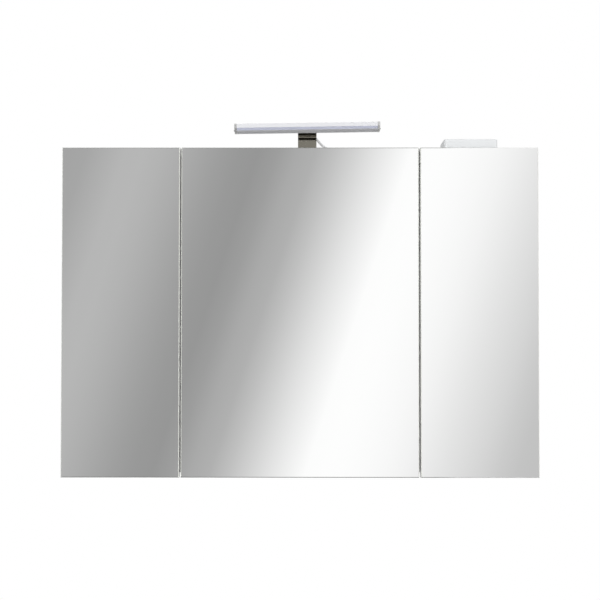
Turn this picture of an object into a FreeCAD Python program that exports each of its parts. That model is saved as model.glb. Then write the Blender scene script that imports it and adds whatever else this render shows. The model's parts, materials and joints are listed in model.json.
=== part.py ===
"""Bathroom mirror cabinet: three mirror doors on concealed hinges, glass shelves and a lamp bar on top.

Millimetres. X runs to the right, Y into the wall and Z up. The origin is midway between the two
hanger holes, on the plane of the wall.
"""
import FreeCAD, Part
import math
import os
from collections import defaultdict

import Sketcher
from FreeCAD import Placement, Rotation, Vector

SIZES = {
    # Carcass
    "carcass_width": 1000,
    "carcass_height": 680,
    "carcass_depth": 178,
    "board_thickness": 16,
    "divider_offset": 250,
    "back_thickness": 3,
    "back_inset": 14,
    "groove_depth": 6,
    "fit_clearance": 0.1,
    # Corner fittings
    "cam_diameter": 15,
    "cam_edge": 24,
    "cam_web": 3.5,
    "bolt_diameter": 6,
    "bolt_web": 5,
    "dowel_diameter": 8,
    "dowel_reach": 19,
    "fitting_front": 40,
    "fitting_rear": 45,
    # Hangers
    "hanger_drop": 40,
    "hanger_hole": 9,
    "hanger_edge": 24,
    "hanger_width": 44,
    "hanger_foot": 22,
    "hanger_headroom": 2,
    "hanger_thickness": 2,
    "hanger_screw_pitch": 20,
    # Shelves
    "shelf_thickness": 5,
    "shelf_depth": 138,
    "shelf_side_gap": 1,
    "shelf_rear_gap": 2,
    "shelf_corner": 4,
    "lower_shelf": 214,
    "upper_shelf": 428,
    "peg_diameter": 5,
    "peg_web": 1.6,
    "peg_front": 30,
    "peg_rear": 28,
    "peg_row_pitch": 32,
    "rest_reach": 8,
    "rest_width": 10,
    "rest_thickness": 3,
    # Doors
    "door_gap": 3,
    "door_standoff": 3,
    "side_reveal": 1.5,
    "top_reveal": 0.5,
    "door_overhang": 10,
    "door_board": 16,
    "mirror_thickness": 3,
    "mirror_inset": 0.5,
    "mirror_arris": 1.2,
    "bumper_diameter": 8,
    "bumper_inset": 25,
    "bumper_gap": 0.3,
    # Hinges
    "hinge_inset": 100,
    "pin_edge": 7.5,
    "pin_depth": 11.5,
    "pin_diameter": 2.5,
    "pin_clearance": 0.05,
    "knuckle_wall": 0.85,
    "cup_diameter": 35,
    "cup_edge": 3,
    "cup_wall": 0.8,
    "cup_floor_gap": 0.4,
    "flange_thickness": 1.2,
    "flange_width": 22,
    "flange_end": 8,
    "cup_screw_pitch": 48,
    "ear_thickness": 2,
    "ear_gap": 0.3,
    "ear_reach": 2.5,
    "hinge_arm_width": 10,
    "hinge_arm_thickness": 2,
    "hinge_neck": 13.2,
    "crank_setback": 9,
    "plate_setback": 18,
    "plate_length": 46,
    "plate_width": 14,
    "wing_end": 8,
    "wing_width": 13,
    "wing_thickness": 2.5,
    "plate_screw_pitch": 32,
    "screw_shank": 3.5,
    "screw_head": 7,
    "screw_head_height": 1.8,
    "screw_bite": 10,
    "adjuster_diameter": 5,
    "adjuster_head": 8,
    # Lamp bar
    "lamp_length": 300,
    "lamp_depth": 30,
    "lamp_height": 17,
    "lamp_face": 8.2,
    "lamp_slant": 6,
    "lamp_lip_rise": 3.9,
    "lamp_lip_run": 10,
    "lamp_wall": 1.6,
    "lamp_offset": 15,
    "lamp_reach": 62,
    "lamp_lift": 25,
    "lamp_roll": 0.85,
    "cap_thickness": 5,
    "cap_proud": 0.5,
    "led_board_width": 12,
    "led_board_thickness": 1.2,
    "led_board_end_gap": 4,
    "led_size": 3,
    "led_height": 0.9,
    "led_pitch": 20,
    # Lamp bracket
    "bracket_width": 39,
    "bracket_thickness": 3,
    "bracket_arm_lift": 25.5,
    "riser_setback": 24,
    "foot_length": 45,
    "bend_radius": 2,
    "flange_top_gap": 2,
    "roll_clearance": 0.5,
    "bracket_screw_pitch": 24,
    "lamp_screw_bite": 4.8,
    # Lamp cable
    "cable_diameter": 5,
    "grommet_diameter": 8,
    "grommet_proud": 1.5,
    # Supply box
    "box_width": 115,
    "box_depth": 95,
    "box_height": 29.5,
    "box_left": 309.5,
    "box_rear_gap": 14,
    "box_wall": 2,
    "box_corner": 6,
    "box_edge": 1.5,
    "base_height": 12,
    "boss_diameter": 10,
    "boss_inset": 9,
    "lid_screw_bite": 8,
    "lid_screw_sink": 2.2,
    "board_lift": 4,
    "board_gap": 2,
    "circuit_thickness": 1.6,
    "terminal_length": 30,
    "terminal_width": 12,
    "terminal_height": 9,
    "gland_diameter": 9,
    "gland_length": 12,
    "gland_lift": 7,
    "inlet_diameter": 13,
    "inlet_length": 8,
    "inlet_bore": 7,
}

# Lamp cable route: from the grommet behind the bar, over the bracket, down to the top panel and
# along it to the gland of the supply box
CABLE_POINTS = [
    (15.0, -227.5, 75.25),
    (15.0, -214.0, 75.25),
    (16.0, -198.0, 74.8),
    (19.5, -182.0, 73.8),
    (26.0, -167.5, 70.8),
    (34.0, -160.0, 62.6),
    (52.5, -147.5, 43.6),
    (72.0, -137.0, 42.7),
    (100.0, -123.0, 42.7),
    (132.0, -104.0, 42.7),
    (168.0, -87.0, 42.7),
    (204.0, -80.0, 42.7),
    (236.0, -71.0, 42.9),
    (262.0, -62.6, 45.0),
    (281.5, -61.5, 47.0),
    (297.5, -61.5, 47.0),
]
# How much of a run each bend of the cable may take
ARC_SHARE = 0.45

doc = FreeCAD.newDocument("mirror_cabinet")
sheet = doc.addObject("Spreadsheet::Sheet", "Sizes")
for row, (alias, number) in enumerate(SIZES.items(), start=1):
    sheet.set(f"A{row}", alias)
    sheet.set(f"B{row}", str(number))
    sheet.setAlias(f"B{row}", alias)
doc.recompute()


class Size:
    """A formula over the sheet's cells, together with the number it gives."""

    def __init__(self, text, value):
        self.text = text
        self.value = value

    @staticmethod
    def of(other):
        return other if isinstance(other, Size) else Size(f"({other})", other)

    def __add__(self, other):
        other = Size.of(other)
        return Size(f"({self.text} + {other.text})", self.value + other.value)

    def __sub__(self, other):
        other = Size.of(other)
        return Size(f"({self.text} - {other.text})", self.value - other.value)

    def __mul__(self, other):
        other = Size.of(other)
        return Size(f"({self.text} * {other.text})", self.value * other.value)

    def __truediv__(self, other):
        other = Size.of(other)
        return Size(f"({self.text} / {other.text})", self.value / other.value)

    def __neg__(self):
        return Size(f"(-1 * {self.text})", -self.value)

    __radd__ = __add__
    __rmul__ = __mul__


def cell(alias):
    """The sheet's value under an alias."""
    return Size(f"Sizes.{alias}", float(sheet.get(alias)))


ZERO = Size.of(0)
TURNS = {
    "X": Rotation(Vector(0, 1, 0), 90),
    "Y": Rotation(Vector(1, 0, 0), -90),
    "Z": Rotation(),
}
sub_parts = []


def bind(item, **formulas):
    """Bind properties of a document object to formulas; a dot in a name is written as two underscores."""
    for prop, size in formulas.items():
        item.setExpression(prop.replace("__", "."), size.text)
    return item


def block(x, y, z):
    """A box between three pairs of faces."""
    item = doc.addObject("Part::Box", "Block")
    return bind(item, Length=x[1] - x[0], Width=y[1] - y[0], Height=z[1] - z[0],
                Placement__Base__x=x[0], Placement__Base__y=y[0], Placement__Base__z=z[0])


def rod(axis, start, diameter, length):
    """A cylinder that starts at a point and runs along +axis."""
    item = doc.addObject("Part::Cylinder", "Rod")
    item.Placement = Placement(Vector(), TURNS[axis])
    return bind(item, Radius=diameter / 2, Height=length,
                Placement__Base__x=start[0], Placement__Base__y=start[1], Placement__Base__z=start[2])


def fuse(*items):
    item = doc.addObject("Part::MultiFuse", "Fuse")
    item.Shapes = list(items)
    return item


def group(*items):
    item = doc.addObject("Part::Compound", "Group")
    item.Links = list(items)
    return item


def cut(base, *tools):
    item = doc.addObject("Part::Cut", "Cut")
    item.Base = base
    item.Tool = tools[0] if len(tools) == 1 else group(*tools)
    return item


def name(item, label):
    """Label a finished sub-part and list it for export."""
    item.Label = label
    sub_parts.append(item)
    return item


def along(edge, sign, near, far):
    """The pair of X faces at two distances from an edge, measured towards sign."""
    return (edge + near, edge + far) if sign > 0 else (edge - far, edge - near)


def outline(body, title, role, offset, points):
    """A sketch on one of the body's planes: a closed run of straight sides with bound corners."""
    sketch = body.newObject("Sketcher::SketchObject", title)
    plane = next(item for item in body.Origin.OriginFeatures if item.Role == role)
    sketch.AttachmentSupport = [(plane, "")]
    sketch.MapMode = "FlatFace"
    sketch.setExpression("AttachmentOffset.Base.z", offset.text)
    corners = [Vector(u.value, v.value, 0) for u, v in points]
    count = len(corners)
    for index, corner in enumerate(corners):
        sketch.addGeometry(Part.LineSegment(corner, corners[(index + 1) % count]))
    for index in range(count):
        sketch.addConstraint(Sketcher.Constraint("Coincident", index, 2, (index + 1) % count, 1))
    for index, (u, v) in enumerate(points):
        for kind, size in (("DistanceX", u), ("DistanceY", v)):
            datum = sketch.addConstraint(Sketcher.Constraint(kind, -1, 1, index, 1, size.value))
            sketch.setExpression(f"Constraints[{datum}]", size.text)
    return sketch


def padded_body(title, role, offset, length, points):
    """A body whose first feature is a pad of an outline."""
    body = doc.addObject("PartDesign::Body", title)
    profile = outline(body, "Profile", role, offset, points)
    pad = body.newObject("PartDesign::Pad", "Pad")
    pad.Profile = profile
    pad.setExpression("Length", length.text)
    body.Tip = pad
    doc.recompute()
    return body


def pocket(body, role, offset, depth, points):
    """Cut an outline out of a body, along the plane's normal from the offset."""
    before = body.Shape.Volume
    opening = outline(body, "Opening", role, offset, points)
    cutter = body.newObject("PartDesign::Pocket", "Pocket")
    cutter.Profile = opening
    cutter.Reversed = True
    cutter.setExpression("Length", depth.text)
    body.Tip = cutter
    doc.recompute()
    if not body.Shape.Volume < before:
        raise RuntimeError(f"{body.Label}: the pocket cut nothing")


def edges_where(shape, test):
    """Names of the straight edges whose two ends both pass a test."""
    return [f"Edge{number}" for number, edge in enumerate(shape.Edges, start=1)
            if len(edge.Vertexes) == 2 and all(test(vertex.Point) for vertex in edge.Vertexes)]


def upright_edges(shape, x, y):
    """Names of the edges that stand along Z at the corners of a rectangle."""
    corners = [(u.value, v.value) for u, v in rectangle(x, y)]
    return [edge for corner in corners
            for edge in edges_where(shape, lambda p: near(p.x, corner[0]) and near(p.y, corner[1]))]


def dress(body, kind, prop, size, edges):
    """Round or bevel named edges of a body's last feature."""
    last = body.Tip
    feature = body.newObject(f"PartDesign::{kind}", kind)
    feature.Base = (last, edges)
    feature.setExpression(prop, size.text)
    body.Tip = feature
    doc.recompute()


def near(a, b):
    return abs(a - b) < 1e-4


def rectangle(x, y):
    return [(x[0], y[0]), (x[1], y[0]), (x[1], y[1]), (x[0], y[1])]


# Faces shared by many pieces
fit = cell("fit_clearance")
board = cell("board_thickness")
half_width = cell("carcass_width") / 2
TOP = cell("hanger_drop")
BOTTOM = TOP - cell("carcass_height")
INNER_TOP = TOP - board
INNER_BOTTOM = BOTTOM + board
FRONT = -cell("carcass_depth")
BACK_REAR = -cell("back_inset")
BACK_FRONT = BACK_REAR - cell("back_thickness")
DOOR_BACK = FRONT - cell("door_standoff")
BOARD_FRONT = DOOR_BACK - cell("door_board")
MIRROR_FRONT = BOARD_FRONT - cell("mirror_thickness")
DOOR_TOP = TOP - cell("top_reveal")
DOOR_BOTTOM = BOTTOM - cell("door_overhang")
SIDE_FACE = half_width - board
divider = cell("divider_offset")

blanks = {
    "left_side_panel": block((-half_width, -SIDE_FACE), (FRONT, ZERO), (BOTTOM, TOP)),
    "right_side_panel": block((SIDE_FACE, half_width), (FRONT, ZERO), (BOTTOM, TOP)),
    "top_panel": block((-SIDE_FACE, SIDE_FACE), (FRONT, ZERO), (INNER_TOP, TOP)),
    "bottom_panel": block((-SIDE_FACE, SIDE_FACE), (FRONT, ZERO), (BOTTOM, INNER_BOTTOM)),
    "left_divider": block((-divider - board / 2, -divider + board / 2), (FRONT, BACK_FRONT - fit),
                          (INNER_BOTTOM, INNER_TOP)),
    "right_divider": block((divider - board / 2, divider + board / 2), (FRONT, BACK_FRONT - fit),
                           (INNER_BOTTOM, INNER_TOP)),
}
holes = defaultdict(list)


def back_panel():
    """The back sheet and the groove that holds it on four sides."""
    groove = cell("groove_depth")
    reach = groove - fit
    name(block((-SIDE_FACE - reach, SIDE_FACE + reach), (BACK_FRONT, BACK_REAR),
               (INNER_BOTTOM - reach, INNER_TOP + reach)), "back_panel")
    slot = block((-SIDE_FACE - groove, SIDE_FACE + groove), (BACK_FRONT - fit, BACK_REAR + fit),
                 (INNER_BOTTOM - groove, INNER_TOP + groove))
    for panel in ("left_side_panel", "right_side_panel", "top_panel", "bottom_panel"):
        holes[panel].append(slot)


def corner_fittings():
    """Cam locks with their bolts at the four corners, and dowels there and at the dividers' ends."""
    cams, bolts, dowels = [], [], []
    bolt = cell("bolt_diameter")
    cam = cell("cam_diameter")
    cam_depth = board - cell("cam_web")
    bite = board - cell("bolt_web")
    dowel = cell("dowel_diameter")
    dowel_reach = cell("dowel_reach")
    rows = (FRONT + cell("fitting_front"), -cell("fitting_rear"))
    middle = FRONT / 2
    for level, face, into in (("top_panel", TOP, -1), ("bottom_panel", BOTTOM, 1)):
        height = face + board / 2 * into
        cam_low = face - cam_depth if into < 0 else face
        for side, sign in (("left_side_panel", -1), ("right_side_panel", 1)):
            seat = SIDE_FACE * sign
            for y in rows:
                centre = seat - cell("cam_edge") * sign
                span = along(seat, sign, -cell("cam_edge"), bite)
                length = span[1] - span[0]
                bolts.append(rod("X", (span[0], y, height), bolt, length))
                tunnel = rod("X", (span[0] - fit, y, height), bolt + fit * 2, length + fit * 2)
                cams.append(cut(rod("Z", (centre, y, cam_low), cam, cam_depth), tunnel))
                seat_hole = rod("Z", (centre, y, cam_low - fit), cam + fit * 2, cam_depth + fit * 2)
                holes[level] += [tunnel, seat_hole]
                holes[side].append(tunnel)
            span = along(seat, sign, -dowel_reach, bite)
            dowels.append(rod("X", (span[0], middle, height), dowel, span[1] - span[0]))
            tunnel = rod("X", (span[0] - fit, middle, height), dowel + fit * 2, span[1] - span[0] + fit * 2)
            holes[level].append(tunnel)
            holes[side].append(tunnel)
        inner = face + board * into
        for post, sign in (("left_divider", -1), ("right_divider", 1)):
            for y in rows:
                low = inner - dowel_reach if into < 0 else inner - bite
                length = dowel_reach + bite
                dowels.append(rod("Z", (divider * sign, y, low), dowel, length))
                tunnel = rod("Z", (divider * sign, y, low - fit), dowel + fit * 2, length + fit * 2)
                holes[level].append(tunnel)
                holes[post].append(tunnel)
    name(group(*cams), "cam_locks")
    name(group(*bolts), "cam_bolts")
    name(group(*dowels), "dowels")


def cross_screw(axis, sign, seat, shank, bite):
    """A pan head screw driven along an axis from its seat, and the hole it needs below the seat."""
    head = cell("screw_head_height")
    order = "XYZ".index(axis)

    def shifted(distance):
        point = list(seat)
        point[order] = point[order] + distance
        return point

    stem_low, head_low = (ZERO, -head) if sign > 0 else (-bite, ZERO)
    stem = rod(axis, shifted(stem_low), shank, bite)
    cap = rod(axis, shifted(head_low), cell("screw_head"), head)
    hole_low = stem_low - fit
    return fuse(stem, cap), rod(axis, shifted(hole_low), shank + fit * 2, bite + fit * 2)


def hangers():
    """Angled steel plates in the rear corners: one leg on the side panel, one flush with the wall plane."""
    plates, screws = [], []
    thick = cell("hanger_thickness")
    z = (-cell("hanger_foot"), INNER_TOP - cell("hanger_headroom"))
    leg_front = BACK_REAR + fit
    for side, sign in (("left_side_panel", -1), ("right_side_panel", 1)):
        face = SIDE_FACE * sign
        leg = block(along(face, -sign, ZERO, thick), (leg_front, ZERO), z)
        flag = block(along(face, -sign, ZERO, cell("hanger_width")), (-thick, ZERO), z)
        eye_x = face - cell("hanger_edge") * sign
        tools = [rod("Y", (eye_x, -thick - fit, ZERO), cell("hanger_hole"), thick + fit * 2)]
        for step in (-1, 1):
            height = cell("hanger_screw_pitch") / 2 * step
            seat = (face - thick * sign, (leg_front - thick) / 2, height)
            screw, hole = cross_screw("X", sign, seat, cell("screw_shank"), cell("screw_bite"))
            screws.append(screw)
            tools.append(hole)
            holes[side].append(hole)
        plates.append(cut(fuse(leg, flag), *tools))
    name(group(*plates), "hanger_plates")
    name(group(*screws), "hanger_screws")


def shelves():
    """Two glass shelves in each bay on pegs with flat rests, with a spare peg hole above and below."""
    pins = []
    peg = cell("peg_diameter")
    depth = (board - cell("peg_web")) / 2
    rest = cell("rest_thickness")
    rest_half = cell("rest_width") / 2
    y = (BACK_FRONT - cell("shelf_rear_gap") - cell("shelf_depth"), BACK_FRONT - cell("shelf_rear_gap"))
    rows = (y[0] + cell("peg_front"), y[1] - cell("peg_rear"))
    bays = {
        "left_shelves": (("left_side_panel", -SIDE_FACE), ("left_divider", -divider - board / 2)),
        "centre_shelves": (("left_divider", -divider + board / 2), ("right_divider", divider - board / 2)),
        "right_shelves": (("right_divider", divider + board / 2), ("right_side_panel", SIDE_FACE)),
    }
    for bay, walls in bays.items():
        panes = []
        gap = cell("shelf_side_gap")
        x = (walls[0][1] + gap, walls[1][1] - gap)
        for level in (cell("lower_shelf"), cell("upper_shelf")):
            z = INNER_BOTTOM + level
            pane = padded_body("Pane", "XY_Plane", z, cell("shelf_thickness"), rectangle(x, y))
            dress(pane, "Fillet", "Radius", cell("shelf_corner"), upright_edges(pane.Shape, x, y))
            panes.append(pane)
            for (wall, face), sign in zip(walls, (1, -1)):
                for row in rows:
                    start = along(face, sign, -depth + fit, ZERO)[0]
                    stem = rod("X", (start, row, z - peg / 2), peg, depth - fit)
                    tongue = block(along(face, sign, ZERO, cell("rest_reach")),
                                   (row - rest_half, row + rest_half), (z - rest, z))
                    pins.append(fuse(stem, tongue))
                    for step in (-1, 0, 1):
                        height = z - peg / 2 + cell("peg_row_pitch") * step
                        mouth = along(face, sign, -depth, fit)[0]
                        holes[wall].append(rod("X", (mouth, row, height), peg + fit * 2, depth + fit))
        name(group(*panes), bay)
    name(group(*pins), "shelf_pins")


def hinge_levels():
    return (BOTTOM + cell("hinge_inset"), TOP - cell("hinge_inset"))


def hinge_cup(edge, sign, height):
    """A pressed cup with a flange, and two ears that carry the pin."""
    wall = cell("cup_wall")
    cup = cell("cup_diameter")
    knuckle = cell("pin_diameter") / 2 + cell("pin_clearance") + cell("knuckle_wall")
    depth = cell("pin_depth") + knuckle + cell("cup_floor_gap") + wall
    centre = edge + (cell("cup_edge") + cup / 2) * sign
    pin_x = edge + cell("pin_edge") * sign
    pin_y = DOOR_BACK - cell("pin_depth")
    floor = DOOR_BACK - depth
    reach = cell("ear_reach")
    flange = cell("flange_thickness")
    half = cell("cup_screw_pitch") / 2 + cell("flange_end")
    shell = rod("Y", (centre, floor, height), cup, depth)
    plate = block(along(centre, sign, -cell("flange_width") / 2, cell("flange_width") / 2),
                  (DOOR_BACK, DOOR_BACK + flange), (height - half, height + half))
    hollow = rod("Y", (centre, floor + wall, height), cup - wall * 2, depth + flange)
    inner = cell("hinge_arm_width") / 2 + cell("ear_gap")
    outer = inner + cell("ear_thickness")
    ears = [block((pin_x - reach, pin_x + reach), (floor + wall, pin_y + reach), z)
            for z in ((height - outer, height - inner), (height + inner, height + outer))]
    pin_low = (pin_x, pin_y, height - outer)
    pin = rod("Z", pin_low, cell("pin_diameter"), outer * 2)
    bore = rod("Z", pin_low, cell("pin_diameter") + cell("pin_clearance") * 2, outer * 2)
    screws, tools = [], [bore]
    for step in (-1, 1):
        seat = (centre, DOOR_BACK + flange, height + cell("cup_screw_pitch") / 2 * step)
        screw, hole = cross_screw("Y", -1, seat, cell("screw_shank"), cell("screw_bite"))
        screws.append(screw)
        tools.append(hole)
    cup_bore = rod("Y", (centre, floor - fit, height), cup + fit * 2, depth + fit * 2)
    solid = cut(fuse(cut(fuse(shell, plate), hollow), *ears), *tools)
    return solid, pin, screws, [cup_bore] + tools[1:]


def hinge_arm(edge, sign, height, plate_face):
    """The arm from its knuckle on the pin, round the neck in the cup, to its tail on the mounting plate.

    plate_face is how far the plate's face lies from the door's hinge edge.
    """
    thick = cell("hinge_arm_thickness")
    half = cell("hinge_arm_width") / 2
    z = (height - half, height + half)
    pin_x = edge + cell("pin_edge") * sign
    pin_y = DOOR_BACK - cell("pin_depth")
    bore = cell("pin_diameter") + cell("pin_clearance") * 2
    neck = cell("pin_edge") + cell("hinge_neck")
    tail_front = FRONT + cell("crank_setback")
    tail_rear = FRONT + cell("plate_setback") + cell("plate_length")
    pieces = [
        rod("Z", (pin_x, pin_y, z[0]), bore + cell("knuckle_wall") * 2, half * 2),
        block(along(edge, sign, cell("pin_edge"), neck + thick), (pin_y - thick / 2, pin_y + thick / 2), z),
        block(along(edge, sign, neck, neck + thick), (pin_y - thick / 2, tail_front + thick), z),
        block(along(edge, sign, plate_face, neck + thick), (tail_front, tail_front + thick), z),
        block(along(edge, sign, plate_face, plate_face + thick), (tail_front, tail_rear), z),
    ]
    return cut(fuse(*pieces), rod("Z", (pin_x, pin_y, z[0]), bore, half * 2))


def hinge_plate(panel, face, sign, height, thickness):
    """The mounting plate on a panel's face with its two screws, and the adjuster that holds the arm."""
    y = (FRONT + cell("plate_setback"), FRONT + cell("plate_setback") + cell("plate_length"))
    middle = (y[0] + y[1]) / 2
    wing = cell("wing_width") / 2
    half = cell("plate_screw_pitch") / 2 + cell("wing_end")
    bar = block(along(face, sign, ZERO, thickness), y,
                (height - cell("plate_width") / 2, height + cell("plate_width") / 2))
    wings = block(along(face, sign, ZERO, cell("wing_thickness")), (middle - wing, middle + wing),
                  (height - half, height + half))
    screws, tools = [], []
    for step in (-1, 1):
        seat = (face + cell("wing_thickness") * sign, middle, height + cell("plate_screw_pitch") / 2 * step)
        screw, hole = cross_screw("X", -sign, seat, cell("screw_shank"), cell("screw_bite"))
        screws.append(screw)
        tools.append(hole)
        holes[panel].append(hole)
    arm = cell("hinge_arm_thickness")
    head = cell("screw_head_height")
    shank = along(face, sign, fit, thickness + arm)
    cap = along(face, sign, thickness + arm, thickness + arm + head)
    stem = rod("X", (shank[0], middle, height), cell("adjuster_diameter"), shank[1] - shank[0])
    adjuster = fuse(stem, rod("X", (cap[0], middle, height), cell("adjuster_head"), head))
    bore = along(face, sign, ZERO, thickness + arm + fit)
    tunnel = rod("X", (bore[0], middle, height), cell("adjuster_diameter") + fit * 2, bore[1] - bore[0])
    return cut(fuse(bar, wings), *tools, tunnel), screws, adjuster, tunnel


def mirror_door(label, x, sign, wall_face):
    """One door: board, mirror with a bevelled rim, hinge cups, pins, screws and bumpers.

    x is the pair of side edges and sign is +1 when the door hangs from its left edge. wall_face is the
    X face that its mounting plates sit on. Returns the arms, plates, plate screws and adjusters.
    """
    edge = x[0] if sign > 0 else x[1]
    free = x[1] if sign > 0 else x[0]
    inset = cell("mirror_inset")
    panel = block(x, (BOARD_FRONT, DOOR_BACK), (DOOR_BOTTOM, DOOR_TOP))
    glass = padded_body("Mirror", "XZ_Plane", -BOARD_FRONT, cell("mirror_thickness"),
                        rectangle((x[0] + inset, x[1] - inset), (DOOR_BOTTOM + inset, DOOR_TOP - inset)))
    rim = edges_where(glass.Shape, lambda p: near(p.y, MIRROR_FRONT.value))
    dress(glass, "Chamfer", "Size", cell("mirror_arris"), rim)
    overlay = board - cell("side_reveal")
    thickness = cell("pin_edge") + cell("hinge_neck") - overlay
    wall_panel, face = wall_face
    plate_face = (face - edge) * sign + thickness
    cups, pins, screws, bores, arms, plates, plate_screws, adjusters = ([] for _ in range(8))
    for height in hinge_levels():
        cup, pin, cup_screws, tools = hinge_cup(edge, sign, height)
        plate, fixings, adjuster, tunnel = hinge_plate(wall_panel, face, sign, height, thickness)
        cups.append(cup)
        pins.append(pin)
        screws += cup_screws
        bores += tools
        arms.append(cut(hinge_arm(edge, sign, height, plate_face), tunnel))
        plates.append(plate)
        plate_screws += fixings
        adjusters.append(adjuster)
    pads = []
    for height in (TOP - board / 2, BOTTOM + board / 2):
        centre = (free - cell("bumper_inset") * sign, DOOR_BACK, height)
        pads.append(rod("Y", centre, cell("bumper_diameter"), cell("door_standoff") - cell("bumper_gap")))
    name(cut(panel, *bores), f"{label}_door_board")
    name(glass, f"{label}_mirror")
    name(group(*cups), f"{label}_hinge_cups")
    name(group(*pins), f"{label}_hinge_pins")
    name(group(*screws), f"{label}_cup_screws")
    name(group(*pads), f"{label}_bumpers")
    return arms, plates, plate_screws, adjusters


def doors():
    """Three doors: the outer ones hang from the side panels, the wide one from the left divider."""
    gap = cell("door_gap") / 2
    reveal = half_width - cell("side_reveal")
    hung = [
        mirror_door("left", (-reveal, -divider - gap), 1, ("left_side_panel", -SIDE_FACE)),
        mirror_door("centre", (-divider + gap, divider - gap), 1, ("left_divider", -divider + board / 2)),
        mirror_door("right", (divider + gap, reveal), -1, ("right_side_panel", SIDE_FACE)),
    ]
    left, centre, right = (arms for arms, *_ in hung)
    name(group(*left, *right), "side_hinge_arms")
    name(group(*centre), "centre_hinge_arms")
    for index, label in enumerate(("hinge_plates", "hinge_plate_screws", "hinge_adjusters"), start=1):
        name(group(*(item for door in hung for item in door[index])), label)


# The lamp bar is drawn about its own centre line, then set in place with its slight roll
LAMP_BACK = MIRROR_FRONT - cell("lamp_reach") + cell("lamp_depth")
LAMP_FRONT = MIRROR_FRONT - cell("lamp_reach")
LAMP_TOP = cell("lamp_height") / 2
LAMP_CENTRE = TOP + cell("lamp_lift") + LAMP_TOP
ARM_LOW = TOP + cell("bracket_arm_lift")
ARM_TOP = ARM_LOW + cell("bracket_thickness")
FLANGE_TOP = LAMP_CENTRE + LAMP_TOP - cell("flange_top_gap")
FIXING_HEIGHT = (ARM_TOP + cell("bend_radius") + FLANGE_TOP) / 2


def set_lamp(item, label):
    """Move a piece of the lamp bar from its own centre line to its place above the cabinet."""
    item.Placement = Placement(Vector(), Rotation(Vector(0, 1, 0), -SIZES["lamp_roll"]))
    bind(item, Placement__Base__x=cell("lamp_offset"), Placement__Base__z=LAMP_CENTRE,
         Placement__Rotation__Angle=-cell("lamp_roll"))
    name(item, label)


def lamp():
    """The extruded housing, the slanted diffuser, end caps, LED board, LEDs, fixing screws and grommet."""
    half = cell("lamp_length") / 2
    wall = cell("lamp_wall")
    cap = cell("cap_thickness")
    proud = cell("cap_proud")
    crest = LAMP_TOP - cell("lamp_face")
    slant = LAMP_FRONT + cell("lamp_slant")
    lip = cell("lamp_lip_rise") - LAMP_TOP
    keel = slant + cell("lamp_lip_run")
    body = half - cap
    screw_x = cell("bracket_screw_pitch") / 2
    fixing = FIXING_HEIGHT - LAMP_CENTRE
    housing = padded_body("Housing", "YZ_Plane", -body, body * 2, [
        (LAMP_FRONT, LAMP_TOP), (LAMP_BACK, LAMP_TOP), (LAMP_BACK, -LAMP_TOP), (keel, -LAMP_TOP), (slant, lip),
        (slant, lip + wall), (keel, wall - LAMP_TOP), (LAMP_BACK - wall, wall - LAMP_TOP),
        (LAMP_BACK - wall, LAMP_TOP - wall), (LAMP_FRONT + wall, LAMP_TOP - wall), (LAMP_FRONT + wall, crest),
        (LAMP_FRONT, crest)])
    diffuser = padded_body("Diffuser", "YZ_Plane", -body, body * 2, [
        (LAMP_FRONT, crest), (slant, lip), (slant, lip + wall), (LAMP_FRONT + wall, crest)])
    caps = [padded_body("Cap", "YZ_Plane", start, cap, [
        (LAMP_FRONT - proud, LAMP_TOP + proud), (LAMP_BACK + proud, LAMP_TOP + proud),
        (LAMP_BACK + proud, -LAMP_TOP - proud), (keel, -LAMP_TOP - proud), (slant, lip - proud),
        (LAMP_FRONT - proud, crest)])
        for start in (-half, body)]
    strip = cell("led_board_width") / 2
    middle = (LAMP_FRONT + LAMP_BACK) / 2
    strip_top = LAMP_TOP - wall
    strip_low = strip_top - cell("led_board_thickness")
    strip_half = body - cell("led_board_end_gap")
    led = cell("led_size") / 2
    pitch = cell("led_pitch")
    count = int((strip_half.value - led.value) / pitch.value)
    leds = [block((pitch * step - led, pitch * step + led), (middle - led, middle + led),
                  (strip_low - cell("led_height"), strip_low)) for step in range(-count, count + 1)]
    screws, tools = [], []
    seat_y = LAMP_BACK + cell("bracket_thickness")
    for step in (-1, 1):
        seat = (screw_x * step, seat_y, fixing)
        bite = cell("bracket_thickness") + cell("lamp_screw_bite")
        screw, hole = cross_screw("Y", -1, seat, cell("screw_shank"), bite)
        screws.append(screw)
        tools.append(hole)
    collar = rod("Y", (ZERO, LAMP_BACK, fixing), cell("grommet_diameter"),
                 cell("bracket_thickness") + cell("grommet_proud"))
    set_lamp(cut(housing, *tools), "lamp_housing")
    set_lamp(diffuser, "lamp_diffuser")
    set_lamp(group(*caps), "lamp_end_caps")
    strip_y = (middle - strip, middle + strip)
    set_lamp(group(block((-strip_half, strip_half), strip_y, (strip_low, strip_top))), "led_board")
    set_lamp(group(*leds), "led_chips")
    set_lamp(group(*screws), "lamp_fixing_screws")
    set_lamp(group(collar), "cable_grommet")


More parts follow.
